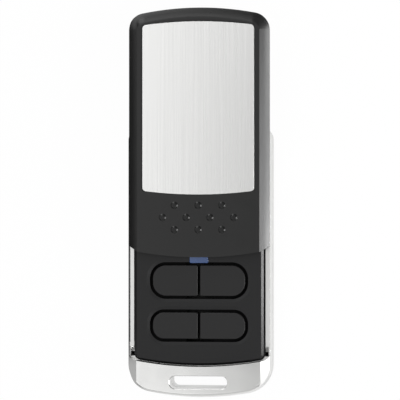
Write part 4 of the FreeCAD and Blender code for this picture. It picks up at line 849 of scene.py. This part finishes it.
# Lamps that hang level above the floor. A lamp's brightness is 1 where its light is white.
CEILING = 1.0
CEILING_PANELS = {
    "left_upper_panel": dict(x=-0.505, y=0.36, width=0.83, depth=0.72, brightness=0.95),
    "left_lower_panel": dict(x=-0.505, y=-0.36, width=0.83, depth=0.72, brightness=0.90),
    "upper_panel": dict(x=0.085, y=0.42, width=0.35, depth=0.60, brightness=0.42),
    "middle_panel": dict(x=0.085, y=0.005, width=0.35, depth=0.23, brightness=0.02),
    "lower_panel": dict(x=0.085, y=-0.415, width=0.35, depth=0.61, brightness=0.45),
    "right_upper_panel": dict(x=0.46, y=0.34, width=0.40, depth=0.76, brightness=0.12),
    "right_lower_panel": dict(x=0.42, y=-0.30, width=0.32, depth=0.52, brightness=2.6),
}

# Lamps that stand beside the object and lean towards it.
SIDE_LAMPS = {
    "front_panel": dict(place=(0.0, -0.95, 0.42), target=AIM,
                        width=1.2, depth=0.8, brightness=0.55),
    "right_wall": dict(place=(0.60, -0.08, 0.26), target=(0.0, -0.03, 0.01),
                       width=0.34, depth=0.46, brightness=8.0),
    "left_wall": dict(place=(-0.90, 0.03, 0.36), target=(0.0, 0.03, 0.01),
                      width=1.2, depth=0.55, brightness=0.5),
    "upper_left": dict(place=(-0.36, 0.88, 0.44), target=AIM,
                       width=0.56, depth=1.0, brightness=2.6),
}


def flat_rectangle(name, x, y, height, material):
    """A rectangle that lies between two places along X and two along Y."""
    (left, right), (foot, head) = x, y
    mesh = bpy.data.meshes.new(name)
    mesh.from_pydata([(left, foot, height), (right, foot, height),
                      (right, head, height), (left, head, height)], [], [(0, 1, 2, 3)])
    mesh.materials.append(material)
    return show(name, mesh)


def stage_material(name):
    material = bpy.data.materials.new(name)
    material.use_nodes = True
    material.node_tree.nodes.clear()
    return material, material.node_tree


def pale_floor():
    """White for the eye and for reflections, and a plain diffuse floor for light."""
    material, tree = stage_material("pale_floor")
    rays = add(tree, "ShaderNodeLightPath").outputs
    seen = product(tree, rays["Is Camera Ray"], FLOOR_SEEN)
    mirrored = product(tree, rays["Is Glossy Ray"], FLOOR_MIRRORED)
    through = product(tree, rays["Is Transmission Ray"], FLOOR_SEEN)
    glow = maths(tree, "MAXIMUM", seen, maths(tree, "MAXIMUM", mirrored, through))
    matt = add(tree, "ShaderNodeBsdfDiffuse", {"Color": FLOOR_GREY})
    white = add(tree, "ShaderNodeEmission", {"Color": WHITE, "Strength": 1.0})
    mixed = add(tree, "ShaderNodeMixShader", {0: glow, 1: matt.outputs[0], 2: white.outputs[0]})
    add(tree, "ShaderNodeOutputMaterial", {"Surface": mixed.outputs[0]})
    span = (-FLOOR_HALF, FLOOR_HALF)
    flat_rectangle("floor", span, span, 0.0, material)


def card_on_floor(name, x, y, axis, fade, glow):
    """One of the cards, hidden from all but reflections."""
    material, tree = stage_material(name)
    place = separated(tree, tree.nodes.new("ShaderNodeTexCoord").outputs["Object"])
    strength = spread(tree, place[axis], fade, glow)
    white = add(tree, "ShaderNodeEmission", {"Color": WHITE, "Strength": strength})
    add(tree, "ShaderNodeOutputMaterial", {"Surface": white.outputs[0]})
    card = flat_rectangle(name, x, y, CARD_RAISE, material)
    card.visible_camera = False
    card.visible_diffuse = False
    card.visible_transmission = False
    card.visible_shadow = False


def soft_lamp(name, place, target, width, depth, brightness):
    """An area lamp of the given size and brightness, aimed at a point."""
    lamp = bpy.data.lights.new(name, "AREA")
    lamp.shape = "RECTANGLE"
    lamp.size = width
    lamp.size_y = depth
    lamp.energy = brightness * math.pi * width * depth
    holder = show(name, lamp)
    holder.location = place
    holder.visible_camera = False
    direction = Vector(target) - Vector(place)
    holder.rotation_euler = direction.to_track_quat("-Z", "Y").to_euler()


def studio_light():
    world = bpy.data.worlds.new("studio")
    world.use_nodes = True
    backdrop = world.node_tree.nodes["Background"]
    backdrop.inputs["Color"].default_value = WHITE
    backdrop.inputs["Strength"].default_value = WORLD_GLOW
    bpy.context.scene.world = world
    for name, panel in CEILING_PANELS.items():
        x, y = panel["x"], panel["y"]
        soft_lamp(name, (x, y, CEILING), (x, y, 0.0),
                  panel["width"], panel["depth"], panel["brightness"])
    for name, lamp in SIDE_LAMPS.items():
        soft_lamp(name, **lamp)


def photo_camera():
    lens = bpy.data.cameras.new("camera")
    lens.lens = LENS
    lens.sensor_width = SENSOR
    camera = show("camera", lens)
    back = Vector((SIDE_LEAN, 0.0, 1.0)).normalized()
    across = Vector((0.0, 1.0, 0.0)).cross(back).normalized()
    up = back.cross(across)
    turn = Matrix((across, up, back)).transposed()
    camera.matrix_world = Matrix.Translation(AIM + back * VIEW_DISTANCE) @ turn.to_4x4()
    bpy.context.scene.camera = camera


pale_floor()
for name, card in CARDS.items():
    card_on_floor(name, **card)
studio_light()
photo_camera()
bpy.context.scene.view_settings.view_transform = "Standard"
